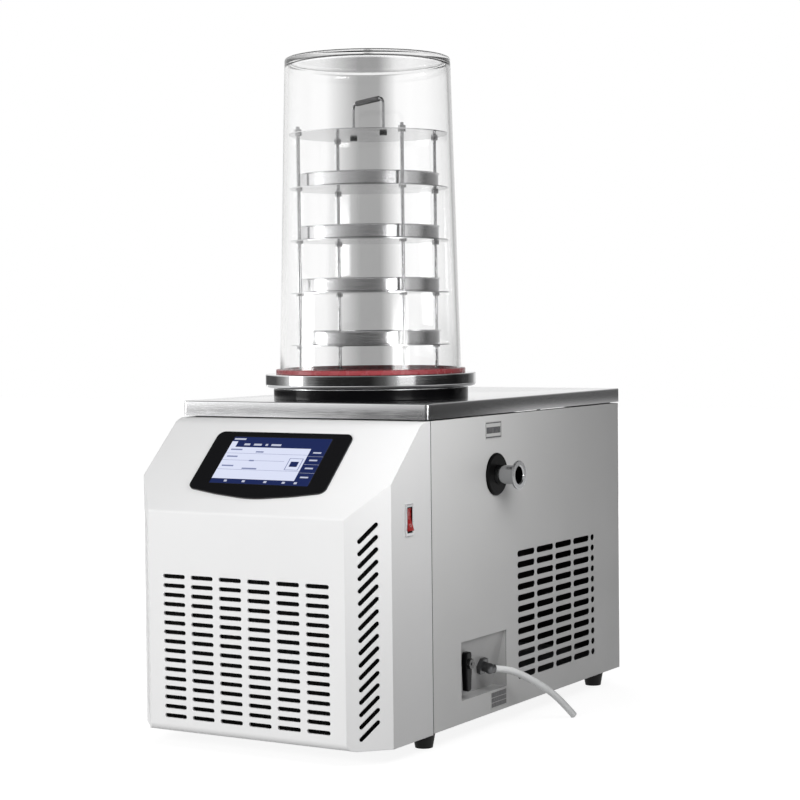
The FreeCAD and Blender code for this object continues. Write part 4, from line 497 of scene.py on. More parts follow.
    def seen_rays(self, tree):
        """One for rays from the camera, mirrored or through glass, and nothing for the rest."""
        rays = tree.nodes.new("ShaderNodeLightPath")
        value = rays.outputs["Is Camera Ray"]
        for kind in ("Is Glossy Ray", "Is Transmission Ray"):
            both = tree.nodes.new("ShaderNodeMath")
            both.operation = "MAXIMUM"
            tree.links.new(value, both.inputs[0])
            tree.links.new(rays.outputs[kind], both.inputs[1])
            value = both.outputs[0]
        return value

    def world(self, scene, level):
        """White seen straight, mirrored or through glass; a plain level for diffuse light."""
        world = bpy.data.worlds.new("room")
        world.use_nodes = True
        tree = world.node_tree
        tree.nodes.clear()
        mix = tree.nodes.new("ShaderNodeMixShader")
        tree.links.new(self.seen_rays(tree), mix.inputs[0])
        for place, tone in ((1, grey(level, 1.01)), (2, grey(1.0))):
            background = tree.nodes.new("ShaderNodeBackground")
            background.inputs["Color"].default_value = (*tone, 1.0)
            tree.links.new(background.outputs[0], mix.inputs[place])
        out = tree.nodes.new("ShaderNodeOutputWorld")
        tree.links.new(mix.outputs[0], out.inputs["Surface"])
        scene.world = world

    def floor(self, scene, tone):
        """Wide floor, nearly white to the eye but still darkened where the part shades it.

        P(x, y) = (x, y, 0).
        """
        x, y = np.meshgrid((-self.FLOOR_REACH, self.FLOOR_REACH), (-self.FLOOR_REACH, self.FLOOR_REACH))
        floor = bpy.data.objects.new("floor", surface("floor", np.stack((x, y, np.zeros((2, 2))), -1)))
        scene.collection.objects.link(floor)
        finish = Finish("floor_paint", tone, 0.9, Specular_IOR_Level=0.0, Emission_Color=(1, 1, 1, 1))
        lift = finish.ranged(finish.vectors("LENGTH", finish.place), *self.FLOOR_LIFT, *self.FLOOR_FADE)
        finish.link(finish.maths("MULTIPLY", self.seen_rays(finish.tree), lift),
                    finish.shader.inputs["Emission Strength"])
        floor.data.materials.append(finish.material)

    def ramp(self, finish, value, stops, low, high):
        """Brightness read off a list of (place, level) stops between low and high."""
        ramp = finish.node("ShaderNodeValToRGB", Fac=finish.ranged(value, 0.0, 1.0, low, high))
        elements = ramp.color_ramp.elements
        while len(elements) < len(stops):
            elements.new(0.5)
        for element, (at, level) in zip(elements, stops):
            element.position = (at - low) / (high - low)
            element.color = (*grey(level / self.BRIGHTEST), 1.0)
        return ramp.outputs["Color"]

    def surround(self, scene):
        """Closed tent that only mirrors and clear walls see, its brightness laid out by azimuth and height.

        P(t, h) = (R(h) cos t, R(h) sin t, z(h)), a cylinder with a dome; each band of height has its own
        ramp over the angle between the spoke and the camera's side.  Straight through glass it is plain
        white, but for the grey flat behind the jar.
        """
        t = np.linspace(0, 2 * math.pi, 97)[:-1]
        rise = np.linspace(0, math.pi / 2, 9)
        radius = self.TENT * np.concatenate(((1, 1), np.cos(rise)))[:, None]
        height = np.concatenate((self.WALL[:-1], self.WALL[-1] + self.DOME * np.sin(rise)))[:, None]
        points = np.stack(np.broadcast_arrays(radius * np.cos(t), radius * np.sin(t), height), -1)
        around = bpy.data.objects.new("surround", surface("surround", points, close_columns=True))
        scene.collection.objects.link(around)
        finish = Finish("surround_light", grey(0.0), 1.0)
        ahead, right, up = (finish.vectors("DOT_PRODUCT", finish.place, way)
                            for way in (self.AHEAD, self.RIGHT, tuple(UP)))
        azimuth = finish.maths("DEGREES", finish.maths("ARCTAN2", right, ahead))
        light = None
        for fade, stops in self.BANDS:
            band = self.ramp(finish, azimuth, stops, -180.0, 180.0)
            light = band if fade is None else finish.mixed(finish.ranged(up, 0.0, 1.0, *fade), light, band)
        mirrored = finish.node("ShaderNodeLightPath").outputs["Glossy Depth"]
        light = finish.mixed(finish.ranged(mirrored, 0.0, 1.0, 0.0, 1.0), (*grey(1.0 / self.BRIGHTEST), 1.0),
                             light)
        flat = self.ramp(finish, right, self.FLAT, -self.FLAT_REACH, self.FLAT_REACH)
        flat = finish.node("ShaderNodeVectorMath", operation="SCALE", Vector=flat, Scale=self.BRIGHTEST)
        light = finish.mixed(finish.ranged(ahead, 1.0, 0.0, *self.FLAT_FADE), light, flat.outputs["Vector"],
                             "MULTIPLY")
        glow = finish.node("ShaderNodeEmission", Color=light, Strength=self.BRIGHTEST)
        out = next(n for n in finish.tree.nodes if n.type == "OUTPUT_MATERIAL")
        finish.link(glow.outputs["Emission"], out.inputs["Surface"])
        around.data.materials.append(finish.material)
        around.visible_camera = around.visible_diffuse = around.visible_shadow = False

    def lamp(self, scene, name, place, aim, side, watts):
        """Square soft lamp that points at a place and isn't mirrored."""
        data = bpy.data.lights.new(name, "AREA")
        data.shape, data.size, data.energy = "SQUARE", side, watts
        lamp = bpy.data.objects.new(name, data)
        scene.collection.objects.link(lamp)
        way = Vector(aim) - Vector(place)
        lamp.matrix_world = Matrix.Translation(place) @ way.to_track_quat("-Z", "Y").to_matrix().to_4x4()
        lamp.visible_glossy = lamp.visible_camera = lamp.visible_transmission = False

    def execute(self, context):
        scene = context.scene
        stage = scene.dryer_stage
        scene.view_settings.view_transform = "Standard"
        self.camera(scene)
        self.world(scene, stage.room)
        self.floor(scene, stage.floor)
        self.surround(scene)
        for name, place, aim, side in self.LAMPS:
            self.lamp(scene, f"{name}_lamp", place, aim, side, getattr(stage, name))
        return {"FINISHED"}


# ---------------------------------------------------------------- drain
class DRYER_OT_drain(bpy.types.Operator):
    """Lays the drain hose and finishes the recess, the valve and its lever"""
    bl_idname = "dryer.drain"
    bl_label = "Drain"

    # the hose's start and the points of its route from there, millimetres
    START = (186.557, -57.62, 84.572)
    ROUTE = ((0.0, 0.0, 0.0), (13.0, 17.5, -2.5), (26.5, 42.0, -15.0), (40.0, 69.0, -32.5),
             (52.5, 96.0, -53.5), (63.0, 120.5, -80.5))

    def hose(self, fittings):
        """Smooth spline through the hose's route, with a round section and closed ends."""
        data = bpy.data.curves.new("silicone_hose", "CURVE")
        data.dimensions = "3D"
        line = data.splines.new("NURBS")
        route = (np.array(self.START) + np.array(self.ROUTE)) * MM
        line.points.add(len(route) - 1)
        line.points.foreach_set("co", np.hstack((route, np.ones((len(route), 1)))).ravel())
        line.order_u = 3
        line.use_endpoint_u = True
        line.resolution_u = 24
        data.bevel_depth = fittings.hose_radius
        data.bevel_resolution = 8
        data.use_fill_caps = True
        hose = bpy.data.objects.new("silicone_hose", data)
        bpy.context.scene.collection.objects.link(hose)
        rubber = Finish("hose_silicone", tuple(fittings.hose), 0.24, IOR=1.42, Subsurface_Weight=0.15,
                        Subsurface_Radius=(0.003, 0.003, 0.003))
        rubber.polish(0.20, 0.30, 60.0).tint(tuple(c * 0.96 for c in fittings.hose), 30.0)
        data.materials.append(rubber.material)
        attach(hose, "cabinet")
        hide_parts("drain_hose")

    def execute(self, context):
        self.hose(context.scene.dryer_fittings)
        recess = Finish("recess_paint", (0.62, 0.62, 0.615), 0.36)
        recess.soften(0.0012).tint(grey(0.50), 9.0).grain(1500.0, 0.00003).dress("drain_recess")
        brass = Finish("valve_brass", (0.72, 0.50, 0.22), 0.30, 1.0)
        brass.polish(0.22, 0.42, 240.0).dress("drain_valve_body")
        steel = brushed_steel("valve_steel", grey(0.10, 1.01), 0.30, (0.225, 0.39), 900.0, 0.000004,
                              (1, 1, 8))
        steel.soften(0.0005).dress("drain_stem", "lever_nut", "drain_pipe")
        nickel = Finish("fitting_nickel", (0.11, 0.112, 0.115), 0.34, 0.9)
        nickel.polish(0.28, 0.42, 400.0).soften(0.0006).dress("drain_fitting")
        lever = Finish("lever_black", (0.004, 0.004, 0.0045), 0.36, Specular_IOR_Level=0.1)
        lever.soften(0.0012).grain(1800.0, 0.00004).dress("drain_lever")
        smooth_nodes("drain_fitting", "drain_valve_body", "drain_stem", "drain_lever", "drain_pipe",
                     "drain_recess")
        return {"FINISHED"}


# ---------------------------------------------------------------- chamber
class DRYER_OT_chamber(bpy.types.Operator):
    """Turns the clear jar, its gasket, the flange and the collar"""
    bl_idname = "dryer.chamber"
    bl_label = "Chamber"

    # corners as rows of radius, height above the piece's foot and rounding, millimetres
    GASKET = ((122.7, 0, 0.3), (136.8, 0, 0.5), (136.8, 6.5, 1.2), (131.3, 6.5, 1.2), (131.3, 3, 0.3),
              (125.2, 3, 0.3), (125.2, 8, 0.8), (122.7, 8, 0.8))
    FLANGE = ((118, 0, 0.4), (147.2, 0, 1.4), (150.6, 1.4, 2.4), (152, 4.4, 2.4), (152, 19.5, 1.3),
              (121, 19.5, 0.4), (121, 17, 0.2), (118, 17, 0.4))
    COLLAR = ((119.8, 0, 0.5), (140.5, 0, 0.8), (140.5, 14.5, 1.6), (119.8, 14.5, 0.5))

    def ring(self, name, rows, finish, slot, node):
        """Turned ring that stands on the foot of the node it replaces."""
        outline = rounded(np.array(rows) * MM) + (0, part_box(node)[0][2])
        add_piece(turned(name, outline, chamber_foot), [finish.material], "cabinet", [node])

    def jar(self, chamber):
        """Clear jar, its wall leaning in from the foot to the lid."""
        low, high = jar_low[2], jar_high[2]
        foot, top = (jar_high[0] - jar_low[0]) / 2, chamber.jar_top
        wall, under_lid = chamber.jar_wall, high - chamber.jar_lid
        outline = rounded(((0, under_lid, 0), (top - wall, under_lid, 6 * MM), (foot - wall, low, 0.6 * MM),
                           (foot, low, 0.6 * MM), (top, high, 3.5 * MM), (0, high, 0)))
        clear = Finish("jar_clear", tuple(chamber.jar_tint), 0.0, Transmission_Weight=1.0, IOR=1.47)
        clear.bump(clear.noise(7.0, 2.0, (1, 1, 0.25)), 0.0006, 0.25)
        add_piece(turned("clear_jar", outline, chamber_foot), [clear.material], "cabinet",
                  ["bell_jar"])

    def execute(self, context):
        chamber = context.scene.dryer_chamber
        self.jar(chamber)
        silicone = Finish("gasket_silicone", tuple(chamber.gasket), 0.26, Subsurface_Weight=0.2,
                          Subsurface_Radius=(0.006, 0.002, 0.002))
        silicone.polish(0.20, 0.34, 90.0).grain(900.0, 0.00005)
        self.ring("silicone_gasket", self.GASKET, silicone, "gasket_red", "jar_gasket")
        wander = (chamber.polish * 0.7, chamber.polish * 1.5)
        steel = brushed_steel("flange_steel", (0.66, 0.665, 0.67), chamber.polish, wander, 2400.0, 0.0000025,
                              (0.012, 0.012, 1))
        self.ring("turned_flange", self.FLANGE, steel, "flange_steel", "flange_ring")
        moulded = Finish("collar_black", tuple(chamber.collar), 0.12, Specular_IOR_Level=0.1)
        moulded.polish(0.08, 0.17, 40.0).grain(500.0, 0.00001)
        self.ring("moulded_collar", self.COLLAR, moulded, "collar_black", "chamber_collar")
        return {"FINISHED"}


# ---------------------------------------------------------------- rack and trays
class DRYER_OT_rack(bpy.types.Operator):
    """Turns the trays, bends the handle with its ridged grip and finishes the discs and rods"""
    bl_idname = "dryer.rack"
    bl_label = "Rack and trays"

    TRAYS = 4
    DISCS = ("rack_top_disc", "shelf_disc_1", "shelf_disc_2", "shelf_disc_3", "shelf_disc_4", "rack_base")
    RIM_PROUD = 1.6 * MM             # how far a tray's rim stands out from its wall, and how deep it is
    FOOT_IN = 4.0 * MM               # how far a tray's foot is set in from its wall
    FOOT_TALL = 1.6 * MM
    FOOT_WALL = 1.5 * MM

    WIRE = 2.2 * MM                  # radius of the handle's wire
    BAR_DROP = 4.0 * MM              # how far the bar's middle lies under the top of the grip
    HALF, BEND = 50.0 * MM, 9.0 * MM
    ACROSS = np.array((math.cos(math.radians(-33.0)), math.sin(math.radians(-33.0)), 0.0))
    GRIP_HALF = 38.0 * MM
    GRIP_WALL = 1.8 * MM
    GRIP_TAPER = 1.2 * MM            # length over which each end of the grip rounds down to the wire
    RIDGE_DEEP = 0.35 * MM
    NUTS_BLACK = np.array((0.072, 0.072, 2.0))       # reach of the handle's own nuts from the chamber's axis

    def tray(self, rack, node):
        """Outline of a tray's sheet: a floor, a foot set in under the wall, and a wall with a proud rim."""
        low, high = box_corners(node)
        rim, sheet = (high[0] - low[0]) / 2, rack.tray_sheet
        wall = rim - self.RIM_PROUD
        foot, step = wall - self.FOOT_IN, low[2] + self.FOOT_TALL
        floor, top = low[2], low[2] + rack.tray_depth
        outer = ((0, floor, 0), (foot, floor, 0.4 * MM), (foot, step, 0.4 * MM), (wall, step, 0.6 * MM),
                 (wall, top - self.RIM_PROUD, 0.3 * MM), (rim, top - self.RIM_PROUD, 0.7 * MM),
                 (rim, top, 0.7 * MM))
        inner = ((wall - sheet, top, 0.5 * MM), (wall - sheet, step + sheet, 0.4 * MM),
                 (foot - self.FOOT_WALL, step + sheet, 0.3 * MM),
                 (foot - self.FOOT_WALL, floor + sheet, 0.3 * MM), (0, floor + sheet, 0))
        return rounded(outer + inner)

    def handle(self):
        """Path of the handle's wire and its highest point: two legs and a bar joined by quarter circles.

        P(s) = middle + x(s) * across + z(s) * up, with x and z read off the two legs, arcs and bar.
        """
        low, high = box_corners("rack_handle")
        middle = (low + high) / 2 * (1, 1, 0)
        top, half, bend = high[2] - self.BAR_DROP, self.HALF, self.BEND
        t = np.linspace(0, math.pi / 2, 13)
        leg = np.linspace(low[2], top - bend, 8)[:-1]
        bar = np.linspace(-half + bend, half - bend, 24)[1:-1]
        x = np.concatenate((np.full(len(leg), -half), -half + bend - bend * np.cos(t), bar,
                            half - bend + bend * np.sin(t), np.full(len(leg), half)))
        z = np.concatenate((leg, top - bend + bend * np.sin(t), np.full(len(bar), top),
                            top - bend + bend * np.cos(t), leg[::-1]))
        return middle + x[:, None] * self.ACROSS + z[:, None] * UP, middle + top * UP

    def grip(self, ridges):
        """Places along the grip and its radius at each: a rounded sleeve with cosine grooves.

        r(s) = wire + wall * sqrt(taper(s)) - depth * (1 - cos(2 pi ridges (s / length + 1/2))) / 2.
        """
        s = np.linspace(-self.GRIP_HALF, self.GRIP_HALF, 289)
        taper = np.clip((self.GRIP_HALF - np.abs(s)) / self.GRIP_TAPER, 0, 1)
        groove = (1 - np.cos(2 * math.pi * ridges * (s / (2 * self.GRIP_HALF) + 0.5))) / 2
        radii = self.WIRE + self.GRIP_WALL * np.sqrt(taper) - self.RIDGE_DEEP * groove
        return s, np.maximum(radii, self.WIRE + 0.05 * MM)

    def execute(self, context):
        rack = context.scene.dryer_rack
        tone = rack.steel
        steel = brushed_steel("tray_steel", grey(tone, 1.01), 0.16, (0.10, 0.24), 1400.0, 0.000008,
                              (0.02, 0.02, 1))
        for number in range(1, self.TRAYS + 1):
            outline = self.tray(rack, f"tray_{number}")
            add_piece(turned(f"steel_tray_{number}", outline, chamber_foot), [steel.material], "cabinet",
                      [f"tray_{number}"])

        wire = Finish("rod_steel", (tone * 0.65, tone * 0.65, tone * 0.66), 0.14, 1.0)
        wire.polish(0.10, 0.2, 500.0, (1, 1, 0.05)).dress("rack_rods")
        path, highest = self.handle()
        add_piece(swept("handle_wire", path, np.full(len(path), self.WIRE), np.cross(self.ACROSS, UP)),
                  [wire.material], "cabinet", ["rack_handle"])
        s, radii = self.grip(rack.grip_ridges)
        grip = Finish("grip_black", (0.09, 0.09, 0.092), 0.46).grain(1600.0, 0.00004)
        add_piece(swept("ridged_grip", highest + s[:, None] * self.ACROSS, radii, UP, steps=32, crease=60.0),
                  [grip.material], "cabinet")

        disc = Finish("disc_steel", grey(tone, 1.01), 0.10, 1.0)
        disc.polish(0.07, 0.16, 30.0).grain(300.0, 0.000006).dress(*self.DISCS)
        nut = Finish("nut_steel", (0.58, 0.58, 0.585), 0.20, 1.0)
        nut.blend(nut.within(chamber_foot - self.NUTS_BLACK, chamber_foot + self.NUTS_BLACK), grey(0.012))
        nut.polish(0.14, 0.28, 600.0).soften(0.0004).dress("rack_nuts")
        smooth_nodes(*self.DISCS, "rack_rods")
        return {"FINISHED"}


# ---------------------------------------------------------------- vacuum port
class DRYER_OT_port(bpy.types.Operator):
    """Turns the flanged vacuum tube and its rubber bush"""
    bl_idname = "dryer.port"
    bl_label = "Vacuum port"

    STEPS = 128                      # columns round the tube and the bush
    HIDDEN_END = 2.5 * MM            # how much shorter the tube is inside the cabinet than its node

    def ring(self, name, rows, start, finish, slot, node):
        """Piece turned about the port's level axis from rows of radius, distance from start and rounding."""
        low, high = box_corners("port_pipe")
        origin = (start, (low[1] + high[1]) / 2, (low[2] + high[2]) / 2)
        add_piece(turned(name, rounded(np.array(rows) * MM), origin, (1, 0, 0), (0, 1, 0), self.STEPS),
                  [finish.material], "cabinet", [node])

    def execute(self, context):
        low, high = box_corners("port_pipe")
        inside = low[0] + self.HIDDEN_END
        face = (high[0] - inside) / MM
        tube = ((12.0, 0, 0), (13.2, 0, 0), (13.2, face - 6.4, 0.5), (20.0, face - 3.0, 0.4),
                (20.0, face, 0.5), (13.4, face, 0.3), (12.0, face - 1.4, 0.3))
        steel = brushed_steel("port_steel", (0.40, 0.405, 0.41), 0.14, (0.10, 0.19), 1500.0, 0.000006,
                              (1, 0.02, 0.02))
        self.ring("flanged_tube", tube, inside, steel, "port_steel", "port_pipe")

        back = (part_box("port_grommet")[0][0] - panel_face) / MM
        bush = ((13.5, back, 0.2), (22.0, back, 0.4), (26.0, back + 4.0, 0.3), (17.2, -1.5, 0),
                (17.2, 0.05, 0), (30.0, 0.05, 0.4), (30.0, 2.0, 1.4), (28.0, 4.0, 1.2), (13.5, 4.0, 0.5))
        rubber = Finish("grommet_rubber", tuple(context.scene.dryer_fittings.rubber), 0.40,
                        Specular_IOR_Level=0.05)
        rubber.polish(0.28, 0.46, 70.0).grain(1200.0, 0.00005)
        self.ring("rubber_bush", bush, panel_face, rubber, "black_rubber", "port_grommet")
        return {"FINISHED"}


# ---------------------------------------------------------------- cabinet
class DRYER_OT_cabinet(bpy.types.Operator):
    """Finishes the painted panels, the moulded cover, the deck, the feet and their screws"""
    bl_idname = "dryer.cabinet"
    bl_label = "Cabinet"

    # plan of the black sheet behind the cover's slots, painted shade for the cabinet's dark inside,
    # millimetres from the cabinet's middle line and front
    SHADE_PLAN = ((-189.0, 43.0), (-150.0, 6.5), (150.0, 6.5), (189.0, 43.0))
    SHADE_HEIGHTS = (0.030, 0.314)
    SHADE_THICKNESS = 0.8 * MM
    PLEAT, PLEAT_DEEP = 5.0, 1.2     # length of a pleat and half its depth, millimetres
    INNER_SHADE_DEPTH = 0.7 * MM                # depth under the panels' outer faces past which they turn black: painted shade for the cabinet's dark inside
    PANELS = ("side_panel_right", "side_panel_left", "rear_panel")

    def dust_filter(self):
        """Pleated near-black sheet behind the slots of the cover's front and corners: painted shade that
        makes the slots read dark.

        P(s, h) = path(s) + A sin(2 pi s / pleat) n(s) + h up, path the plan line and n its normal.
        """
        plan = np.array(self.SHADE_PLAN)
        runs = np.linalg.norm(np.diff(plan, axis=0), axis=1)
        along = np.concatenate(((0,), np.cumsum(runs)))
        s = np.linspace(0, along[-1], 721)
        line = np.stack([np.interp(s, along, plan[:, k]) for k in (0, 1)], -1)
        way = np.gradient(line, axis=0)
        way /= np.linalg.norm(way, axis=1)[:, None]
        wave = self.PLEAT_DEEP * np.sin(2 * math.pi * s / self.PLEAT)
        line += wave[:, None] * np.stack((way[:, 1], -way[:, 0]), -1)
        middle = ((cover_low[0] + cover_high[0]) / 2, cover_low[1], 0)
        foot = np.column_stack((line * MM, np.zeros(len(s)))) + middle
        points = foot[None] + np.array(self.SHADE_HEIGHTS)[:, None, None] * UP
        # near-black sheet: painted shade for the dark inside seen through the slots
        black_foam_and_shade = Finish("filter_black", grey(0.006), 0.9, Specular_IOR_Level=0.1).grain(1500.0, 0.0002)
        sheet = add_piece(surface("dust_filter", points), [black_foam_and_shade.material], "cabinet")
        thick = sheet.modifiers.new("thickness", "SOLIDIFY")
        thick.thickness, thick.offset = self.SHADE_THICKNESS, 0.0

    def panels(self, cabinet):
        """Painted steel, turned black on its inside faces as painted shade for the cabinet's unlit inside."""
        paint = Finish("panel_paint", tuple(cabinet.paint), 0.40)
        paint.soften(cabinet.edge).polish(0.35, 0.47, 18.0).grain(1700.0, 0.00004, strength=0.7)
        paint.tint(tuple(c * 0.98 for c in cabinet.paint), 5.0)
        # inside the box between these corners the paint turns near-black: painted shade for the cabinet's
        # dark inside
        inner_low = np.array((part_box("side_panel_left")[0][0] + self.INNER_SHADE_DEPTH, -0.5, 0.0))
        inner_high = np.array((panel_face - self.INNER_SHADE_DEPTH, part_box("rear_panel")[1][1] - self.INNER_SHADE_DEPTH, 0.5))
        paint.blend(paint.within(inner_low, inner_high), grey(0.012)).dress(*self.PANELS)

    def execute(self, context):
        cabinet = context.scene.dryer_cabinet
        moulding = Finish("cover_white", tuple(cabinet.cover), 0.36)
        moulding.soften(cabinet.edge * 0.8).polish(0.32, 0.42, 25.0).grain(1400.0, 0.00003, strength=0.6)
        moulding.tint(tuple(c * 0.985 for c in cabinet.cover), 6.0).dress("front_cover")
        self.panels(cabinet)
        deck = brushed_steel("deck_steel", grey(cabinet.deck, 1.01), 0.13, (0.0975, 0.169), 900.0, 0.0000012,
                             (0.03, 1, 1))
        deck.dress("top_plate")
        screws = Finish("screw_steel", (0.45, 0.45, 0.46), 0.28, 1.0)
        screws.polish(0.2, 0.38, 800.0).soften(0.0004).dress("panel_screws", "base_bolts")
        # zinc darkened to near-black: painted shade for the base, frame and shelf seen through the slots
        base = Finish("base_zinc", (0.10, 0.102, 0.105), 0.55, 0.5)
        base.tint((0.14, 0.142, 0.145), 60.0).polish(0.48, 0.64, 80.0)
        base.dress("base_pan", "inner_frame", "electronics_shelf")
        feet = Finish("foot_rubber", tuple(context.scene.dryer_fittings.rubber), 0.55, Specular_IOR_Level=0.2)
        feet.soften(0.001).grain(900.0, 0.00006).dress("feet")
        self.dust_filter()
        smooth_nodes("front_cover", "top_plate", "feet", "panel_screws")
        smooth_nodes(*self.PANELS, angle=25.0)
        return {"FINISHED"}


# ---------------------------------------------------------------- display
class DRYER_OT_display(bpy.types.Operator):
    """Lights the display with plain bars and marks, without lettering"""
    bl_idname = "dryer.display"
    bl_label = "Display"

    SLOPE = math.radians(43.1)       # of the panel that carries the display
    CREASE = 0.320                   # height at which that panel starts
    UP_SLOPE = np.array((0.0, math.cos(SLOPE), math.sin(SLOPE)))
    OFF_SLOPE = np.array((0.0, -math.sin(SLOPE), math.cos(SLOPE)))
    # millimetres: the lit area, how far up the slope it starts, how proud it stands, and its layers' spacing
    WIDE, TALL = 159.4, 85.4
    START, PROUD, LAYER = 52.3, 1.95, 0.04

    # left, right, top and bottom shares of the screen, layer, finish: 0 navy, 1 page, 2 ink, 3 pale
    LAYOUT = (
        (0.0, 1.0, 0.0, 1.0, 0, 0), (0.0, 0.84, 0.22, 0.90, 1, 1), (0.0, 0.06, 0.10, 0.22, 1, 1),
        (0.01, 0.13, 0.03, 0.065, 1, 3), (0.14, 0.20, 0.14, 0.18, 1, 3), (0.24, 0.32, 0.14, 0.18, 1, 3),
        (0.36, 0.385, 0.14, 0.18, 1, 3), (0.42, 0.52, 0.14, 0.18, 1, 3), (0.03, 0.15, 0.26, 0.29, 2, 2),
        (0.03, 0.14, 0.41, 0.44, 2, 2), (0.03, 0.15, 0.61, 0.64, 2, 2), (0.30, 0.38, 0.30, 0.33, 2, 2),
        (0.28, 0.33, 0.49, 0.52, 2, 2), (0.25, 0.40, 0.66, 0.69, 2, 2), (0.0, 0.84, 0.352, 0.358, 2, 2),
        (0.0, 0.64, 0.50, 0.506, 2, 2), (0.0, 0.84, 0.70, 0.706, 2, 2), (0.68, 0.82, 0.43, 0.44, 2, 2),
        (0.68, 0.82, 0.67, 0.68, 2, 2), (0.68, 0.688, 0.43, 0.68, 2, 2), (0.812, 0.82, 0.43, 0.68, 2, 2),
        (0.71, 0.79, 0.50, 0.61, 2, 0), (0.88, 0.96, 0.285, 0.315, 1, 3), (0.88, 0.96, 0.445, 0.475, 1, 3),
        (0.88, 0.96, 0.615, 0.645, 1, 3), (0.88, 0.96, 0.805, 0.835, 1, 3), (0.85, 1.0, 0.378, 0.382, 1, 3),
        (0.85, 1.0, 0.548, 0.552, 1, 3), (0.85, 1.0, 0.728, 0.732, 1, 3), (0.14, 0.17, 0.925, 0.965, 1, 3),
        (0.325, 0.355, 0.925, 0.965, 1, 3), (0.545, 0.575, 0.925, 0.965, 1, 3),
        (0.73, 0.76, 0.925, 0.965, 1, 3), (0.85, 0.88, 0.925, 0.965, 1, 3))

    def lit(self, name, tone, glow):
        """Glass-faced area that gives its own light."""
        finish = Finish(name, tuple(c * 0.04 for c in tone), 0.22, Emission_Color=(*tone, 1.0),
                        Emission_Strength=glow)
        return finish.polish(0.18, 0.27, 40.0).material

    def execute(self, context):
        display = context.scene.dryer_display
        corner = np.array((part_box("display_screen")[0][0], cover_low[1], self.CREASE))
        place = corner + (self.UP_SLOPE * self.START + self.OFF_SLOPE * self.PROUD) * MM
        left, right, top, bottom, layer, finish = np.array(self.LAYOUT).T
        rows = np.column_stack((left * self.WIDE, right * self.WIDE, (1 - bottom) * self.TALL,
                                (1 - top) * self.TALL, layer, finish))
        tones = {"screen_navy": display.navy, "screen_page": display.page, "screen_ink": display.ink,
                 "screen_pale": [c * 0.75 for c in display.page]}
        mesh = panes("lit_screen", rows, place, (1, 0, 0), self.UP_SLOPE, self.OFF_SLOPE * self.LAYER * MM)
        finishes = [self.lit(name, tuple(tone), display.glow) for name, tone in tones.items()]
        add_piece(mesh, finishes, "cabinet")

        gloss = Finish("bezel_black", tuple(context.scene.dryer_cabinet.bezel), 0.10)
        gloss.soften(0.0008).polish(0.07, 0.14, 30.0).dress("display_bezel")
        glass = Finish("screen_glass", (0.01, 0.011, 0.014), 0.16)
        glass.polish(0.12, 0.2, 50.0).dress("display_screen")
        smooth_nodes("display_bezel")
        return {"FINISHED"}


# ---------------------------------------------------------------- switch and plates
class DRYER_OT_switch(bpy.types.Operator):
    """Finishes the power switch and marks its rocker with a bar and a ring"""
    bl_idname = "dryer.switch"
    bl_label = "Power switch"

    # millimetres from the rocker's pivot
    BAR = (-0.45, 0.45, 5.4, 10.6)   # sides, foot and top of the bar on the upper face
    BAR_OUT = 2.86                   # how far out that face lies
    RIDGE = (2.91, 0.0, 0.462)       # where the lower face starts, just proud of it
    LEAN = math.atan2(4.69, 14.44)   # of the lower face
    RING_DOWN = 8.0                  # from the ridge to the middle of the ring
    RING = (1.5, 2.3)                # inner and outer radius
    CAVITY = np.array((30.0, 6.5, 17.0)) * MM        # half sides of the frame's black inside

    def marks(self):
        """Bar on the upper face and ring on the lower one.

        P(r, t) = middle + r (cos t y + sin t up), up along the lower face.
        """
        paint = Finish("mark_white", (0.52, 0.40, 0.39), 0.5).polish(0.45, 0.58, 300.0)
        bar = panes("on_bar", ((*self.BAR, 0, 0),), rocker_pivot + np.array((self.BAR_OUT, 0, 0)) * MM,
                    (0, 1, 0), UP, (1, 0, 0))
        add_piece(bar, [paint.material], "rocker")
        up = np.array((-math.sin(self.LEAN), 0, math.cos(self.LEAN)))
        middle = rocker_pivot + (np.array(self.RIDGE) - up * self.RING_DOWN) * MM
        t = np.linspace(0, 2 * math.pi, 33)[:-1]
        radii = np.array(self.RING)[:, None, None] * MM
        ring = middle + radii * (np.cos(t)[:, None] * np.array((0, 1.0, 0)) + np.sin(t)[:, None] * up)
        add_piece(surface("off_ring", ring, close_columns=True), [paint.material], "rocker")

    def execute(self, context):
        self.marks()
        red = Finish("rocker_red", tuple(context.scene.dryer_cabinet.rocker), 0.28)
        red.soften(0.0007).polish(0.22, 0.34, 120.0).dress("switch_rocker")
        housing = Finish("housing_black", (0.013, 0.013, 0.014), 0.38)
        housing.soften(0.0008).grain(1500.0, 0.00004).dress("power_inlet", "pump_outlet")
        trim = Finish("switch_trim", (0.66, 0.66, 0.67), 0.24, 0.6)
        trim.blend(trim.within(rocker_pivot - self.CAVITY, rocker_pivot + self.CAVITY), grey(0.006))
        trim.soften(0.0008).grain(1500.0, 0.00003).dress("switch_frame")
        smooth_nodes("switch_frame")
        return {"FINISHED"}


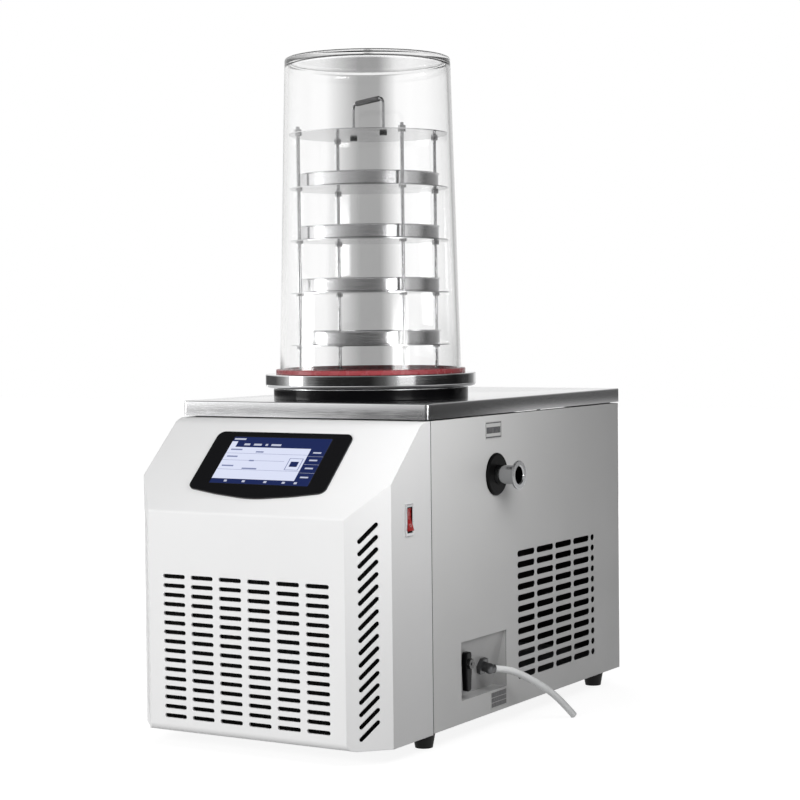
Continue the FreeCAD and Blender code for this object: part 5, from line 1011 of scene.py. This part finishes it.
class DRYER_OT_plates(bpy.types.Operator):
    """Finishes the two bare label plates with a plain border and bands"""
    bl_idname = "dryer.plates"
    bl_label = "Label plates"

    # each plate's middle along y and z in metres, and its bands' sides, foot and top in millimetres
    BANDS = {"upper_band": ((-0.047, 0.4185), ((-22.5, 22.5, 9.3, 10.9), (-22.5, 22.5, -10.9, -9.0),
                                               (-22.5, -21.6, -9.0, 9.3), (21.6, 22.5, -9.0, 9.3),
                                               (-20.4, 20.4, -4.6, 4.2))),
             "lower_band": ((-0.038, 0.0395), ((-22.0, 22.0, -10.4, -4.2), (-22.0, 22.0, -3.5, 2.8),
                                               (-22.0, 22.0, 3.5, 10.4)))}
    PROUD = 0.04 * MM

    def execute(self, context):
        plate = Finish("plate_grey", tuple(context.scene.dryer_fittings.plate), 0.34)
        plate.polish(0.28, 0.42, 60.0).dress("label_plates")
        dark = Finish("plate_ink", (0.075, 0.075, 0.08), 0.42)
        dark.polish(0.36, 0.50, 200.0).tint((0.13, 0.13, 0.135), 420.0, (1, 1, 0.25), start=0.50, stop=0.62)
        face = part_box("label_plates")[1][0] + self.PROUD
        for name, (middle, bands) in self.BANDS.items():
            mesh = panes(name, [(*band, 0, 0) for band in bands], (face, *middle), (0, 1, 0), UP, (0, 0, 0))
            add_piece(mesh, [dark.material], "cabinet")
        return {"FINISHED"}


# ---------------------------------------------------------------- machine space
class DRYER_OT_cooling(bpy.types.Operator):
    """Finishes the cold trap, its coil and insulation, the condenser, fan, compressor and lines"""
    bl_idname = "dryer.cooling"
    bl_label = "Cooling"

    def execute(self, context):
        pot = brushed_steel("trap_steel", (0.55, 0.555, 0.56), 0.24, (0.16, 0.34), 900.0, 0.00001,
                            (0.03, 0.03, 1))
        pot.dress("cold_trap")
        copper = Finish("copper", (0.72, 0.36, 0.22), 0.30, 1.0)
        copper.tint((0.46, 0.24, 0.16), 70.0).polish(0.22, 0.42, 160.0)
        copper.dress("evaporator_coil", "discharge_line", "liquid_line", "suction_line")
        black_foam_and_shade = Finish("foam_black", (0.030, 0.030, 0.032), 0.85)
        black_foam_and_shade.tint((0.05, 0.05, 0.052), 120.0).grain(260.0, 0.0006).dress("trap_insulation")
        # aluminium fins set near-black: painted shade for the condenser's unlit place behind the slots
        fins = Finish("fin_aluminium", (0.035, 0.036, 0.038), 0.6, 0.3)
        fins.polish(0.52, 0.68, 500.0).dress("condenser")
        black = Finish("motor_black", (0.020, 0.020, 0.021), 0.46)
        black.grain(700.0, 0.00008).dress("fan_blade", "fan_motor", "fan_bracket", "fan_shroud")
        enamel = Finish("compressor_black", (0.012, 0.012, 0.013), 0.24)
        enamel.polish(0.16, 0.34, 30.0).grain(160.0, 0.00006).dress("compressor")
        rubber = Finish("mount_rubber", grey(0.016), 0.6)
        rubber.grain(800.0, 0.00008).dress("compressor_grommets")
        smooth_nodes("cold_trap", "compressor", "evaporator_coil", "discharge_line", "liquid_line",
                     "suction_line", "fan_motor", "trap_insulation")
        return {"FINISHED"}


class DRYER_OT_electronics(bpy.types.Operator):
    """Finishes the control board and the power supply behind the rear panel"""
    bl_idname = "dryer.electronics"
    bl_label = "Electronics"

    def execute(self, context):
        board = Finish("board_green", (0.020, 0.13, 0.055), 0.40)
        board.tint((0.03, 0.20, 0.08), 220.0, start=0.48, stop=0.52).polish(0.3, 0.5, 300.0)
        board.dress("control_board")
        supply = Finish("supply_aluminium", (0.60, 0.61, 0.62), 0.38, 1.0)
        supply.polish(0.30, 0.48, 500.0, (0.05, 1, 1)).soften(0.0006).dress("power_supply")
        return {"FINISHED"}


# ---------------------------------------------------------------- panel and running
class DRYER_PT_panel(bpy.types.Panel):
    """Lists the pieces and their sizes and colours"""
    bl_idname = "DRYER_PT_panel"
    bl_label = "Freeze Dryer"
    bl_space_type = "VIEW_3D"
    bl_region_type = "UI"
    bl_category = "Freeze Dryer"

    def draw(self, context):
        for kind in OPERATORS:
            self.layout.operator(kind.bl_idname)
        for label, group in GROUPS.items():
            box = self.layout.box()
            box.label(text=label.replace("_", " ").capitalize())
            for name in group.__annotations__:
                box.prop(getattr(context.scene, label), name)


OPERATORS = (DRYER_OT_stage, DRYER_OT_drain, DRYER_OT_cabinet, DRYER_OT_display, DRYER_OT_switch,
             DRYER_OT_plates, DRYER_OT_port, DRYER_OT_chamber, DRYER_OT_rack, DRYER_OT_cooling,
             DRYER_OT_electronics)


def register():
    for kind in (*GROUPS.values(), *OPERATORS, DRYER_PT_panel):
        bpy.utils.register_class(kind)
    for label, group in GROUPS.items():
        setattr(bpy.types.Scene, label, bpy.props.PointerProperty(type=group))


def unregister():
    for label in GROUPS:
        delattr(bpy.types.Scene, label)
    for kind in (DRYER_PT_panel, *reversed(OPERATORS), *reversed(tuple(GROUPS.values()))):
        bpy.utils.unregister_class(kind)


def main():
    """Registers the add-on and makes every piece."""
    register()
    for kind in OPERATORS:
        group, call = kind.bl_idname.split(".")
        getattr(getattr(bpy.ops, group), call)()


if __name__ == "__main__":
    main()
